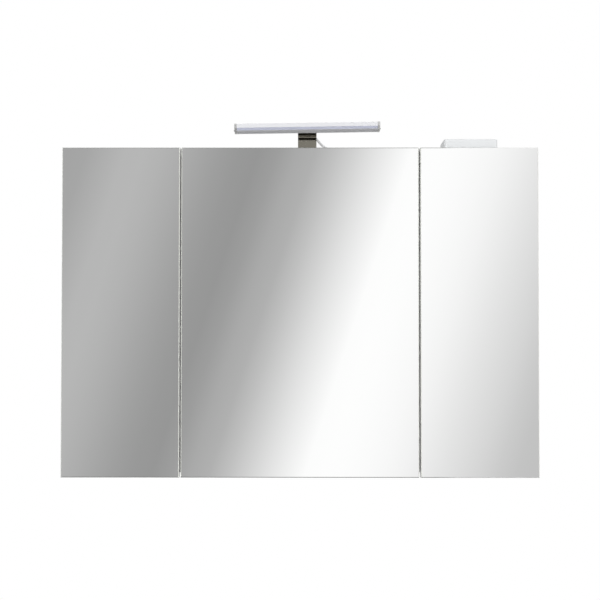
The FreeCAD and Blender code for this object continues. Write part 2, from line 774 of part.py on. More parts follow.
def bracket():
    """A bent strip: foot on the top panel, riser, arm to the lamp bar and a flange on the bar's back."""
    thick = cell("bracket_thickness")
    half = cell("bracket_width") / 2
    riser = MIRROR_FRONT + cell("riser_setback")
    foot = riser + cell("foot_length")
    strip = padded_body("Bracket", "YZ_Plane", cell("lamp_offset") - half, half * 2, [
        (foot, TOP), (riser, TOP), (riser, ARM_LOW), (LAMP_BACK, ARM_LOW), (LAMP_BACK, FLANGE_TOP),
        (LAMP_BACK + thick, FLANGE_TOP), (LAMP_BACK + thick, ARM_TOP), (riser + thick, ARM_TOP),
        (riser + thick, TOP + thick), (foot, TOP + thick)])
    bends = [(riser, TOP), (riser, ARM_LOW), (LAMP_BACK, ARM_LOW), (LAMP_BACK + thick, ARM_TOP),
             (riser + thick, ARM_TOP), (riser + thick, TOP + thick)]
    edges = [edge for u, v in bends
             for edge in edges_where(strip.Shape, lambda p: near(p.y, u.value) and near(p.z, v.value))]
    dress(strip, "Fillet", "Radius", cell("bend_radius"), edges)
    through = thick + fit * 2
    cable_hole = cell("grommet_diameter") + fit * 2
    tools = [rod("Y", (cell("lamp_offset"), LAMP_BACK - fit, FIXING_HEIGHT), cable_hole, through)]
    screws = []
    pitch = cell("bracket_screw_pitch") / 2
    slack_hole = cell("screw_shank") + cell("roll_clearance") * 2
    for step in (-1, 1):
        x = cell("lamp_offset") + pitch * step
        seat = (x, riser + (thick + cell("foot_length")) / 2, TOP + thick)
        screw, hole = cross_screw("Z", -1, seat, cell("screw_shank"), cell("screw_bite"))
        screws.append(screw)
        tools.append(hole)
        holes["top_panel"].append(hole)
        tools.append(rod("Y", (x, LAMP_BACK - fit, FIXING_HEIGHT), slack_hole, through))
    name(cut(strip, *tools), "lamp_bracket")
    name(group(*screws), "bracket_screws")


def supply_box():
    """The white box on the top panel: base tray, lid, bosses, circuit board, terminals, gland and inlet."""
    wall = cell("box_wall")
    x = (cell("box_left"), cell("box_left") + cell("box_width"))
    y = (-cell("box_rear_gap") - cell("box_depth"), -cell("box_rear_gap"))
    rim = TOP + cell("base_height")
    lid_top = TOP + cell("box_height")
    inner_x = (x[0] + wall, x[1] - wall)
    inner_y = (y[0] + wall, y[1] - wall)
    boss = cell("boss_diameter")
    inset = cell("boss_inset")
    middle = (y[0] + y[1]) / 2

    def shell(title, low, high, floor_low, floor_high):
        tray = padded_body(title, "XY_Plane", low, high - low, rectangle(x, y))
        dress(tray, "Fillet", "Radius", cell("box_corner"), upright_edges(tray.Shape, x, y))
        pocket(tray, "XY_Plane", floor_low, floor_high - floor_low, rectangle(inner_x, inner_y))
        inner_corners = upright_edges(tray.Shape, inner_x, inner_y)
        dress(tray, "Fillet", "Radius", cell("box_corner") - wall, inner_corners)
        return tray

    base = shell("Base", TOP, rim, TOP + wall, rim)
    lid = shell("Lid", rim, lid_top, rim, lid_top - wall)
    crown = edges_where(lid.Shape, lambda p: near(p.z, lid_top.value))
    dress(lid, "Fillet", "Radius", cell("box_edge"), crown)
    sink = cell("lid_screw_sink")
    bite = cell("box_height") - cell("base_height") - sink + cell("lid_screw_bite")
    screws, base_posts, lid_posts, stem_holes, head_holes = [], [], [], [], []
    for px, sx in ((x[0], 1), (x[1], -1)):
        for py, sy in ((y[0], 1), (y[1], -1)):
            spot = (px + inset * sx, py + inset * sy)
            base_posts.append(rod("Z", (*spot, TOP + wall), boss, cell("base_height") - wall))
            lid_posts.append(rod("Z", (*spot, rim), boss, cell("box_height") - cell("base_height") - wall))
            seat = (*spot, lid_top - sink)
            screw, hole = cross_screw("Z", -1, seat, cell("screw_shank"), bite)
            screws.append(screw)
            stem_holes.append(hole)
            head_holes.append(rod("Z", seat, cell("screw_head") + fit * 2, sink + fit))
    gland_z = TOP + cell("gland_lift")
    tail = cell("gland_length")
    through = wall + fit * 2
    gland_neck = cell("gland_diameter") - wall
    gland = fuse(rod("X", (x[0] - tail, middle, gland_z), cell("gland_diameter"), tail),
                 rod("X", (x[0], middle, gland_z), gland_neck, wall))
    gland_hole = rod("X", (x[0] - fit, middle, gland_z), gland_neck + fit * 2, through)
    inlet_neck = cell("inlet_diameter") - wall * 2
    inlet_start = (x[1] - wall - fit, middle, gland_z)
    inlet_hole = rod("X", inlet_start, inlet_neck + fit * 2, through)
    inlet = cut(fuse(rod("X", (x[1], middle, gland_z), cell("inlet_diameter"), cell("inlet_length")),
                     rod("X", (x[1] - wall, middle, gland_z), inlet_neck, wall)),
                rod("X", inlet_start, cell("inlet_bore"), cell("inlet_length") + through))
    board_low = TOP + wall + cell("board_lift")
    gap = cell("board_gap") + inset + boss / 2
    circuit_x = (x[0] + gap, x[1] - gap)
    circuit = block(circuit_x, (inner_y[0] + cell("board_gap"), inner_y[1] - cell("board_gap")),
                    (board_low, board_low + cell("circuit_thickness")))
    feet = [rod("Z", (cx, middle, TOP + wall), boss, cell("board_lift"))
            for cx in (circuit_x[0] + boss, circuit_x[1] - boss)]
    block_low = board_low + cell("circuit_thickness")
    terminals = block((circuit_x[0], circuit_x[0] + cell("terminal_width")),
                      (middle - cell("terminal_length") / 2, middle + cell("terminal_length") / 2),
                      (block_low, block_low + cell("terminal_height")))
    name(cut(fuse(base, *base_posts, *feet), *stem_holes, gland_hole, inlet_hole), "supply_base")
    name(cut(fuse(lid, *lid_posts), *stem_holes, *head_holes), "supply_lid")
    name(group(*screws), "supply_lid_screws")
    name(circuit, "supply_board")
    name(terminals, "terminal_block")
    name(gland, "cable_gland")
    name(inlet, "mains_inlet")


def lamp_cable():
    """The free cable: straight runs joined by tangent arcs as large as the runs allow."""
    points = [Vector(*point) for point in CABLE_POINTS]
    edges, start, radii = [], points[0], []
    for before, corner, after in zip(points, points[1:], points[2:]):
        towards, onwards = corner - before, after - corner
        shorter = min(towards.Length, onwards.Length)
        turn = towards.getAngle(onwards)
        setback = ARC_SHARE * shorter
        radii.append(setback / math.tan(turn / 2))
        towards.normalize()
        onwards.normalize()
        entry = corner - towards * setback
        leave = corner + onwards * setback
        bulge = onwards - towards
        bulge.normalize()
        centre = corner + bulge * (radii[-1] / math.cos(turn / 2))
        inner = corner - centre
        inner.normalize()
        edges.append(Part.LineSegment(start, entry).toShape())
        edges.append(Part.Arc(entry, centre + inner * radii[-1], leave).toShape())
        start = leave
    edges.append(Part.LineSegment(start, points[-1]).toShape())
    wire = Part.Wire(edges)
    radius = cell("cable_diameter").value / 2
    circle = Part.Wire(Part.makeCircle(radius, points[0], points[1] - points[0]))
    tube = wire.makePipeShell([circle], True, False)
    expected = math.pi * radius ** 2 * wire.Length
    print("cable: length %.1f mm, volume %.1f of %.1f mm3, radii %s" % (
        wire.Length, tube.Volume, expected, [round(radius) for radius in radii]))
    item = doc.addObject("Part::Feature", "LampCable")
    item.Shape = tube
    item.Placement = Placement()
    name(item, "lamp_cable")


back_panel()
corner_fittings()
hangers()
shelves()
doors()
lamp()
bracket()
supply_box()
lamp_cable()
for label, blank in blanks.items():
    name(cut(blank, *holes[label]), label)
doc.recompute()

for item in doc.Objects:
    if {"Invalid", "Error"} & set(item.State):
        raise RuntimeError(f"{item.Label} failed: {item.State}")
for item in sub_parts:
    if item.Shape.isNull() or not item.Shape.isValid():
        raise RuntimeError(f"{item.Label} has no valid shape")

os.makedirs("parts", exist_ok=True)
for item in sub_parts:
    item.Shape.exportStep(f"parts/{item.Label}.step")
    box = item.Shape.BoundBox
    print("%-20s %3d solids  X %8.1f %8.1f  Y %8.1f %8.1f  Z %8.1f %8.1f" % (
        item.Label, len(item.Shape.Solids), box.XMin, box.XMax, box.YMin, box.YMax, box.ZMin, box.ZMax))
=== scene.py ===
"""Looks of the bathroom mirror cabinet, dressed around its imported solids.

Metres. X runs to the right, Y into the wall and Z up, as in the part's own frame.
"""

import json
import logging
import math
from dataclasses import dataclass
from enum import Enum
from typing import Optional, Sequence, Union

import bmesh
import bpy
from mathutils import Matrix, Vector

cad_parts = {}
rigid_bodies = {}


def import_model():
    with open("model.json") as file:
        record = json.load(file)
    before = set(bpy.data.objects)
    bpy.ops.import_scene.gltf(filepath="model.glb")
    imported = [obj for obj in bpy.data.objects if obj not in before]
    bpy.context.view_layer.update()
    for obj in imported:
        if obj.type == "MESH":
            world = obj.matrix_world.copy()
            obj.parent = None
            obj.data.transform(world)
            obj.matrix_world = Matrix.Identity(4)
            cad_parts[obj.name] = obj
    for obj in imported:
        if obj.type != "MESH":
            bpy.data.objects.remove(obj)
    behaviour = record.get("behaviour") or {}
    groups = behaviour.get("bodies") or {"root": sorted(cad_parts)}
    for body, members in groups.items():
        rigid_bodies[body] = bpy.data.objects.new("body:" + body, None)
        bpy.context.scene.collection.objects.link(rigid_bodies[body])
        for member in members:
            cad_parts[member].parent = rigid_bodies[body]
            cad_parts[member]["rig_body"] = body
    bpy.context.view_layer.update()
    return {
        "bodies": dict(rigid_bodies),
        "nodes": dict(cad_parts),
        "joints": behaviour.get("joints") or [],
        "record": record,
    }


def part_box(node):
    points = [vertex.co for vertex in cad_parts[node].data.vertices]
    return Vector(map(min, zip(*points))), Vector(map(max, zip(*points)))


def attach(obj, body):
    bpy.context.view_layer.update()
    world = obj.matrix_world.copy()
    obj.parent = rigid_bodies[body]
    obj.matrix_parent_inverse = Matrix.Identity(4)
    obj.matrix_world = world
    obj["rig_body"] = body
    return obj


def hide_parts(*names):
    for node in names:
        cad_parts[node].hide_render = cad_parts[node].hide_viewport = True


log = logging.getLogger("mirror_cabinet")

Triple = tuple[float, float, float]
Pair = tuple[float, float]
Profile = Sequence[Pair]
Socket = bpy.types.NodeSocket
Level = Union[float, Triple, Socket]
Settings = tuple[tuple[str, float], ...]

# Points that lie closer than this are one.
WELD = 1e-6
# Faces that turn by less than the first are one flat face, and an edge that turns by more than the
# second is sharp.
FLAT_TURN = math.radians(0.5)
SHARP_TURN = math.radians(32)
QUARTER_TURN = math.pi / 2
TO_ROOM = (0.0, -1.0, 0.0)
UPWARD = (0.0, 0.0, 1.0)
WHITE = (1.0, 1.0, 1.0)
# Where nearly all values of a noise lie.
NOISE_BAND = (0.3, 0.7)
# Depth of the grain of plated metal.
GRAIN_DEPTH = 0.00004
# Radius of the holes that the cable goes through.
CABLE_HOLE = 0.00255


class Axis(Enum):
    """One of the part's axes."""

    X = (1.0, 0.0, 0.0)
    Y = (0.0, 1.0, 0.0)
    Z = (0.0, 0.0, 1.0)

    @property
    def vector(self) -> Vector:
        """The axis as a vector."""
        return Vector(self.value)


class Graph:
    """A node tree with short calls for the nodes that the finishes and the surroundings share."""

    # A Mix node has its sockets once for each kind of value. These are the ones for colours.
    MIX_FACTOR = 0
    MIX_FIRST = 6
    MIX_SECOND = 7
    MIX_RESULT = 2
    # A colour socket holds this many numbers, the last of which is its opacity.
    COLOUR_PARTS = 4

    def __init__(self, owner: Union[bpy.types.Material, bpy.types.World]) -> None:
        """Start an empty tree.

        Args:
            owner: The material or the world.
        """
        owner.use_nodes = True
        self.tree = owner.node_tree
        self.tree.nodes.clear()
        self.place = self.add("TexCoord")

    def add(self, kind: str, **settings: object) -> bpy.types.Node:
        """Add a node.

        Args:
            kind: The node's type, without its prefix.
            settings: Properties to set on it.

        Returns:
            The new node.
        """
        node = self.tree.nodes.new(f"ShaderNode{kind}")
        for key, value in settings.items():
            setattr(node, key, value)
        return node

    def join(self, value: Level, socket: Socket) -> None:
        """Link a socket to another one, or set it to a number or a colour.

        Args:
            value: Where the socket takes its value from.
            socket: The input socket.
        """
        if isinstance(value, bpy.types.NodeSocket):
            self.tree.links.new(value, socket)
        elif isinstance(value, tuple) and len(socket.default_value) == self.COLOUR_PARTS:
            socket.default_value = (*value, 1.0)
        else:
            socket.default_value = value

    def feed(self, node: bpy.types.Node, **inputs: Level) -> None:
        """Set inputs of a node by name; a space in a name is written as an underscore."""
        for name, value in inputs.items():
            self.join(value, node.inputs[name.replace("_", " ")])

    def blend(self, factor: Socket, low: Level, high: Level) -> Socket:
        """Mix two colours.

        Args:
            factor: 0 for the first colour, 1 for the second.
            low: First colour.
            high: Second colour.

        Returns:
            The mixed colour.
        """
        node = self.add("Mix", data_type="RGBA")
        self.join(factor, node.inputs[self.MIX_FACTOR])
        self.join(low, node.inputs[self.MIX_FIRST])
        self.join(high, node.inputs[self.MIX_SECOND])
        return node.outputs[self.MIX_RESULT]

    def span(self, factor: Socket, low: Level, high: Level, start: float = 0.0,
             stop: float = 1.0) -> Socket:
        """Carry a value from one span to another, clamped.

        Args:
            factor: The value.
            low: Result at start.
            high: Result at stop.
            start: Where the span starts.
            stop: Where the span stops.

        Returns:
            The carried value.
        """
        node = self.add("MapRange")
        self.feed(node, Value=factor, From_Min=start, From_Max=stop, To_Min=low, To_Max=high)
        return node.outputs[0]

    def rise(self, value: Socket, band: Pair) -> Socket:
        """0 up to the start of a band of values, 1 past its end, and a straight rise between."""
        return self.span(value, 0.0, 1.0, *band)

    def reckon(self, operation: str, *values: Level) -> Socket:
        """Work out a value from others.

        Args:
            operation: The sum, as the node names it.
            values: One or two values.

        Returns:
            The result.
        """
        node = self.add("Math", operation=operation)
        for value, socket in zip(values, node.inputs):
            self.join(value, socket)
        return node.outputs[0]

    def cosine(self, vector: Socket, direction: Triple) -> Socket:
        """How closely a vector points along a direction.

        Args:
            vector: The vector, of length 1.
            direction: The direction, of length 1.

        Returns:
            The cosine of the angle between them.
        """
        node = self.add("VectorMath", operation="DOT_PRODUCT")
        self.join(vector, node.inputs[0])
        self.join(direction, node.inputs[1])
        return node.outputs["Value"]

    def parts(self, vector: Socket) -> tuple[Socket, ...]:
        """Take a vector apart.

        Args:
            vector: The vector.

        Returns:
            Its X, Y and Z.
        """
        node = self.add("SeparateXYZ")
        self.join(vector, node.inputs[0])
        return tuple(node.outputs)


@dataclass(frozen=True)
class Noise:
    """A noise: features in a metre, octaves, and a factor on each axis, small to draw it out."""

    scale: float
    detail: float = 2.0
    stretch: Triple = (1.0, 1.0, 1.0)


@dataclass(frozen=True)
class Relief:
    """A fine relief: its depth in metres, and how much of it shows."""

    depth: float
    share: float


class Coat(Graph):
    """A material's node tree with one shader."""

    def __init__(self, name: str) -> None:
        """Start a tree that holds a shader alone.

        Args:
            name: Name of the material.
        """
        self.material = bpy.data.materials.new(name)
        super().__init__(self.material)
        self.shader = self.add("BsdfPrincipled")
        self.join(self.shader.outputs["BSDF"], self.add("OutputMaterial").inputs["Surface"])

    def set(self, **inputs: Level) -> None:
        """Set inputs of the shader by name, as feed does."""
        self.feed(self.shader, **inputs)

    def noise(self, kind: Noise) -> Socket:
        """Lay a noise on the piece's own place.

        Args:
            kind: What the noise is like.

        Returns:
            The noise, about 0 to 1.
        """
        mapping = self.add("Mapping")
        self.feed(mapping, Vector=self.place.outputs["Object"], Scale=kind.stretch)
        node = self.add("TexNoise")
        self.feed(node, Vector=mapping.outputs["Vector"], Scale=kind.scale, Detail=kind.detail)
        return node.outputs[0]

    def facing(self, direction: Triple) -> Socket:
        """How squarely the surface faces a direction of length 1, as a cosine."""
        return self.cosine(self.place.outputs["Normal"], direction)

    def levelness(self) -> Socket:
        """How level the surface lies: 1 on top and underneath, 0 where it stands upright."""
        return self.reckon("ABSOLUTE", self.facing(UPWARD))

    def emboss(self, height: Socket, relief: Relief) -> None:
        """Give the shader a fine relief.

        Args:
            height: Height of the relief, 0 to 1.
            relief: Its depth and share.
        """
        node = self.add("Bump")
        self.feed(node, Height=height, Distance=relief.depth, Strength=relief.share)
        self.set(Normal=node.outputs["Normal"])


def shade(colour: Triple, factor: float) -> Triple:
    """A colour made darker or lighter by a factor."""
    return tuple(channel * factor for channel in colour)


@dataclass(frozen=True)
class Finish:
    """What every finish has: a name, a colour and a roughness."""

    name: str
    colour: Triple
    roughness: float

    def material(self) -> bpy.types.Material:
        """Make the finish's material on its first use.

        Returns:
            The material.
        """
        label = f"{self.name}_finish"
        found = bpy.data.materials.get(label)
        if found:
            return found
        graph = Coat(label)
        self.fill(graph)
        return graph.material

    def fill(self, graph: Coat) -> None:
        """Set the shader; each kind of finish has its own way.

        Args:
            graph: The material's node tree.
        """
        raise NotImplementedError

    def gloss(self, graph: Coat, pattern: Socket, swing: Pair, band: Pair) -> Socket:
        """The roughness with a swing on it, from low to high as a pattern goes through a band."""
        low, high = swing
        return graph.span(pattern, self.roughness + low, self.roughness + high, *band)


@dataclass(frozen=True)
class Mottled(Finish):
    """A finish with a slightly uneven tone and gloss and a fine relief.

    The grain drives the gloss, and the tone and the relief too where they have no noise of their own.
    """

    grain: Noise = Noise(400.0)
    tone: Optional[Noise] = None
    darkest: float = 0.96
    swing: Pair = (-0.05, 0.05)
    band: Pair = (0.0, 1.0)
    skin: Optional[Noise] = None
    relief: Optional[Relief] = None
    settings: Settings = ()

    def fill(self, graph: Coat) -> None:
        """Set tone, gloss and relief, and what is the same all over.

        Args:
            graph: The material's node tree.
        """
        grain = graph.noise(self.grain)
        tone = graph.noise(self.tone) if self.tone else grain
        graph.set(Base_Color=graph.blend(tone, shade(self.colour, self.darkest), self.colour),
                  Roughness=self.gloss(graph, grain, self.swing, self.band), **dict(self.settings))
        if self.relief:
            graph.emboss(graph.noise(self.skin) if self.skin else grain, self.relief)


@dataclass(frozen=True)
class Melamine(Mottled):
    """White melamine on board, with the fine pearl texture of the press."""

    grain: Noise = Noise(750.0, 1.5)
    tone: Optional[Noise] = Noise(5.0, 3.0)
    darkest: float = 0.975
    swing: Pair = (-0.07, 0.07)
    band: Pair = NOISE_BAND
    relief: Optional[Relief] = Relief(0.00015, 0.25)


@dataclass(frozen=True)
class PlatedMetal(Mottled):
    """Plated or polished metal with a blotchy tone and a grain in its gloss."""

    tone: Optional[Noise] = Noise(60.0, 3.0)
    darkest: float = 0.9
    swing: Pair = (0.0, 0.08)
    band: Pair = NOISE_BAND
    relief: Optional[Relief] = Relief(GRAIN_DEPTH, 0.1)
    settings: Settings = (("Metallic", 1.0),)


@dataclass(frozen=True)
class MouldedPlastic(Mottled):
    """Moulded plastic with a faint flow tone and the fine texture of a spark-eroded mould."""

    grain: Noise = Noise(1300.0, 1.0)
    tone: Optional[Noise] = Noise(18.0)
    darkest: float = 0.97
    swing: Pair = (-0.05, 0.08)
    band: Pair = NOISE_BAND
    relief: Optional[Relief] = Relief(0.00012, 0.2)


@dataclass(frozen=True)
class OpalAcrylic(Mottled):
    """Opal acrylic, milky under a clear skin, with faint extrusion streaks along X."""

    grain: Noise = Noise(260.0, 2.0, (0.03, 1.0, 1.0))
    settings: Settings = (("Coat_Weight", 0.25), ("Coat_Roughness", 0.12))


@dataclass(frozen=True)
class CoatedAluminium(Mottled):
    """An extruded profile with a pale satin coat and faint die lines along X."""

    grain: Noise = Noise(700.0, 2.0, (0.004, 1.0, 1.0))
    swing: Pair = (-0.06, 0.06)
    relief: Optional[Relief] = Relief(0.00005, 0.12)
    settings: Settings = (("Specular_IOR_Level", 0.25),)


@dataclass(frozen=True)
class SoftSheath(Mottled):
    """Soft cable sheath or rubber, with a faint bloom and a fine skin."""

    grain: Noise = Noise(120.0, 3.0)
    darkest: float = 0.92
    swing: Pair = (-0.08, 0.08)
    skin: Optional[Noise] = Noise(1600.0, 1.0)
    relief: Optional[Relief] = Relief(0.00006, 0.15)


@dataclass(frozen=True)
class ClearPad(Mottled):
    """Clear soft plastic, cloudy and half see-through."""

    grain: Noise = Noise(300.0)
    darkest: float = 0.94
    swing: Pair = (0.0, 0.1)
    settings: Settings = (("Transmission_Weight", 0.65), ("IOR", 1.45))


@dataclass(frozen=True)
class SilveredGlass(Finish):
    """A mirror: silver behind glass, and a ground rim whose top and bottom carry painted shade.

    The painted shade is grey, and turns pale past a band of X at the cabinet's right end, as a painted
    reflection of the brighter room there.
    """

    rim: Triple = (0.98, 0.99, 0.94)
    rim_roughness: float = 0.55
    rim_polish: float = 0.5
    # Painted shade on the rim's top and bottom: grey, and pale at the right end as a painted reflection of
    # the brighter room.
    painted_rim_shade: Triple = (0.27, 0.275, 0.26)
    painted_rim_light: Triple = (0.85, 0.855, 0.84)
    rim_light_band: Pair = (0.29, 0.33)
    front_band: Pair = (0.9, 0.99)
    rim_shade_band: Pair = (0.3, 0.6)
    film: Noise = Noise(9.0, 4.0, (1.0, 1.0, 0.35))
    film_swing: Pair = (0.0, 0.012)
    film_band: Pair = (0.45, 0.8)

    def fill(self, graph: Coat) -> None:
        """Metal where the surface faces the room, ground glass elsewhere, with a faint film of wiping.

        Args:
            graph: The material's node tree.
        """
        front = graph.rise(graph.facing(TO_ROOM), self.front_band)
        # Painted shade and light: the rim's top and bottom turn grey, and pale past a band of X at the
        # right end.
        painted_rim_shade = graph.rise(graph.levelness(), self.rim_shade_band)
        pale = graph.rise(graph.parts(graph.place.outputs["Object"])[0], self.rim_light_band)
        rim = graph.blend(painted_rim_shade, self.rim, graph.blend(pale, self.painted_rim_shade, self.painted_rim_light))
        polish = graph.span(painted_rim_shade, self.rim_polish, 0.0)
        gloss = self.gloss(graph, graph.noise(self.film), self.film_swing, self.film_band)
        graph.set(Base_Color=graph.blend(front, rim, self.colour), Metallic=graph.span(front, polish, 1.0),
                  Roughness=graph.span(front, self.rim_roughness, gloss))


@dataclass(frozen=True)
class ShelfGlass(Finish):
    """Clear float glass: nearly colourless through its faces and green through its edges."""

    edge: Triple = (0.25, 0.56, 0.43)
    edge_clarity: float = 0.5
    face_band: Pair = (0.6, 0.95)
    bending: float = 1.52
    smear: Noise = Noise(14.0, 3.0)
    smear_swing: Pair = (0.0, 0.02)
    smear_band: Pair = (0.5, 0.8)

    def fill(self, graph: Coat) -> None:
        """A glass shader whose tint deepens on the edges, which scatter part of the light.

        Args:
            graph: The material's node tree.
        """
        face = graph.rise(graph.levelness(), self.face_band)
        smear = graph.noise(self.smear)
        graph.set(Base_Color=graph.blend(face, self.edge, self.colour), IOR=self.bending,
                  Transmission_Weight=graph.span(face, self.edge_clarity, 1.0),
                  Roughness=self.gloss(graph, smear, self.smear_swing, self.smear_band))


@dataclass(frozen=True)
class FibreSheet(Finish):
    """Thin fibreboard: lacquered towards the room and bare towards the wall."""

    bare: Triple = (0.31, 0.2, 0.112)
    bare_dark: Triple = (0.215, 0.132, 0.07)
    bare_roughness: float = 0.85
    room_band: Pair = (0.4, 0.6)
    fibres: Noise = Noise(650.0, 5.0, (1.0, 1.0, 0.6))
    clouds: Noise = Noise(7.0, 3.0)
    cloud_band: Pair = (0.4, 0.7)
    cloud_share: float = 0.25
    relief: Relief = Relief(0.0002, 0.15)

    def fill(self, graph: Coat) -> None:
        """Matted brown fibres on the wall side and a smooth pale lacquer on the room side.

        Args:
            graph: The material's node tree.
        """
        room = graph.rise(graph.facing(TO_ROOM), self.room_band)
        fibres = graph.noise(self.fibres)
        clouds = graph.span(graph.noise(self.clouds), 0.0, self.cloud_share, *self.cloud_band)
        brown = graph.blend(graph.rise(fibres, NOISE_BAND), self.bare_dark, self.bare)
        brown = graph.blend(clouds, brown, self.bare_dark)
        graph.set(Base_Color=graph.blend(room, brown, self.colour),
                  Roughness=graph.span(room, self.bare_roughness, self.roughness))
        graph.emboss(fibres, self.relief)


@dataclass(frozen=True)
class CircuitMask(Finish):
    """Solder mask over copper tracks."""

    track: Triple = (0.16, 0.42, 0.2)
    track_width: float = 0.06
    rows: float = 180.0
    row_shift: float = 0.5
    darkest: float = 0.85
    lacquer: float = 0.3

    def fill(self, graph: Coat) -> None:
        """Lighter tracks in rows across the mask.

        Args:
            graph: The material's node tree.
        """
        tracks = graph.add("TexBrick", offset=self.row_shift)
        graph.feed(tracks, Vector=graph.place.outputs["Object"], Scale=self.rows,
                   Mortar_Size=self.track_width, Mortar=self.track, Color1=self.colour,
                   Color2=shade(self.colour, self.darkest))
        graph.set(Base_Color=tracks.outputs["Color"], Roughness=self.roughness, Coat_Weight=self.lacquer)


@dataclass(frozen=True)
class BareBeech(Finish):
    """Plain beech with its short flecks."""

    fleck: Triple = (0.48, 0.29, 0.14)
    fleck_band: Pair = (0.4, 0.7)
    grain: Noise = Noise(420.0, 4.0, (0.25, 1.0, 1.0))
    relief: Relief = Relief(0.0001, 0.2)

    def fill(self, graph: Coat) -> None:
        """Flecks over a drawn-out grain.

        Args:
            graph: The material's node tree.
        """
        grain = graph.noise(self.grain)
        graph.set(Base_Color=graph.blend(graph.rise(grain, self.fleck_band), self.colour, self.fleck),
                  Roughness=self.roughness)
        graph.emboss(grain, self.relief)


WHITE_BOARD = Melamine("white_melamine", (0.82, 0.82, 0.81), 0.36)
BACK_SHEET = FibreSheet("lacquered_fibreboard", (0.8, 0.8, 0.79), 0.4)
MIRROR = SilveredGlass("silvered_glass", (0.985, 0.988, 0.985), 0.004)
SHELF_GLASS = ShelfGlass("float_glass", (0.965, 0.985, 0.978), 0.0)
NICKEL = PlatedMetal("satin_nickel", (0.66, 0.645, 0.61), 0.2)
ZINC = PlatedMetal("bright_zinc", (0.62, 0.63, 0.645), 0.28, grain=Noise(220.0))
SCREW_ZINC = PlatedMetal("screw_zinc", (0.6, 0.6, 0.6), 0.24, grain=Noise(600.0))
CAST_ZINC = PlatedMetal("cast_zinc", (0.48, 0.48, 0.47), 0.42, grain=Noise(900.0),
                        relief=Relief(GRAIN_DEPTH, 0.3))
CHROME = PlatedMetal("polished_chrome", (0.47, 0.445, 0.375), 0.025, grain=Noise(90.0),
                     swing=(0.0, 0.02), relief=None)
CAP_METAL = PlatedMetal("cap_metal", (0.88, 0.88, 0.87), 0.24, grain=Noise(300.0),
                        relief=Relief(GRAIN_DEPTH, 0.03))
LAMP_COAT = CoatedAluminium("lamp_coat", (0.785, 0.79, 0.815), 0.36)
OPAL = OpalAcrylic("lamp_opal", (0.79, 0.82, 0.99), 0.38)
BOX_PLASTIC = MouldedPlastic("box_plastic", (0.725, 0.74, 0.75), 0.42)
TERMINAL_PLASTIC = MouldedPlastic("terminal_plastic", (0.7, 0.7, 0.66), 0.4)
CABLE_SHEATH = SoftSheath("cable_sheath", (0.7, 0.7, 0.71), 0.45)
BUMPER = ClearPad("bumper_clear", (0.86, 0.87, 0.85), 0.15)
CIRCUIT = CircuitMask("circuit_mask", (0.03, 0.2, 0.07), 0.35)
LED_CAP = SoftSheath("led_phosphor", (0.85, 0.66, 0.16), 0.4)
BEECH = BareBeech("bare_beech", (0.62, 0.43, 0.25), 0.6)


@dataclass(frozen=True)
class SoftEdge:
    """How a solid's sharp edges are broken: width, steps and the shortest edge that counts."""

    width: float
    segments: int = 2
    shortest: float = 0.0
    clamp: bool = True

    def sharp(self, work: bmesh.types.BMesh) -> list[bmesh.types.BMEdge]:
        """The edges of a mesh that are sharp and long enough to be broken."""
        return [edge for edge in work.edges if edge.is_manifold and edge.calc_face_angle() > SHARP_TURN
                and edge.calc_length() > self.shortest]

    def apply(self, work: bmesh.types.BMesh, edges: Sequence[bmesh.types.BMEdge]) -> None:
        """Break edges of a mesh.

        Args:
            work: The mesh.
            edges: The edges.
        """
        bmesh.ops.bevel(work, geom=list(edges), offset=self.width, offset_type="OFFSET",
                        segments=self.segments, profile=0.5, affect="EDGES", clamp_overlap=self.clamp,
                        material=-1)


@dataclass(frozen=True)
class Solid:
    """One solid of a CAD node, by the points of its mesh."""

    points: tuple[Vector, ...]

    @property
    def low(self) -> Vector:
        """Lowest corner."""
        return Vector(min(point[axis] for point in self.points) for axis in range(3))

    @property
    def high(self) -> Vector:
        """Highest corner."""
        return Vector(max(point[axis] for point in self.points) for axis in range(3))

    @property
    def middle(self) -> Vector:
        """Middle of the box."""
        return (self.low + self.high) / 2


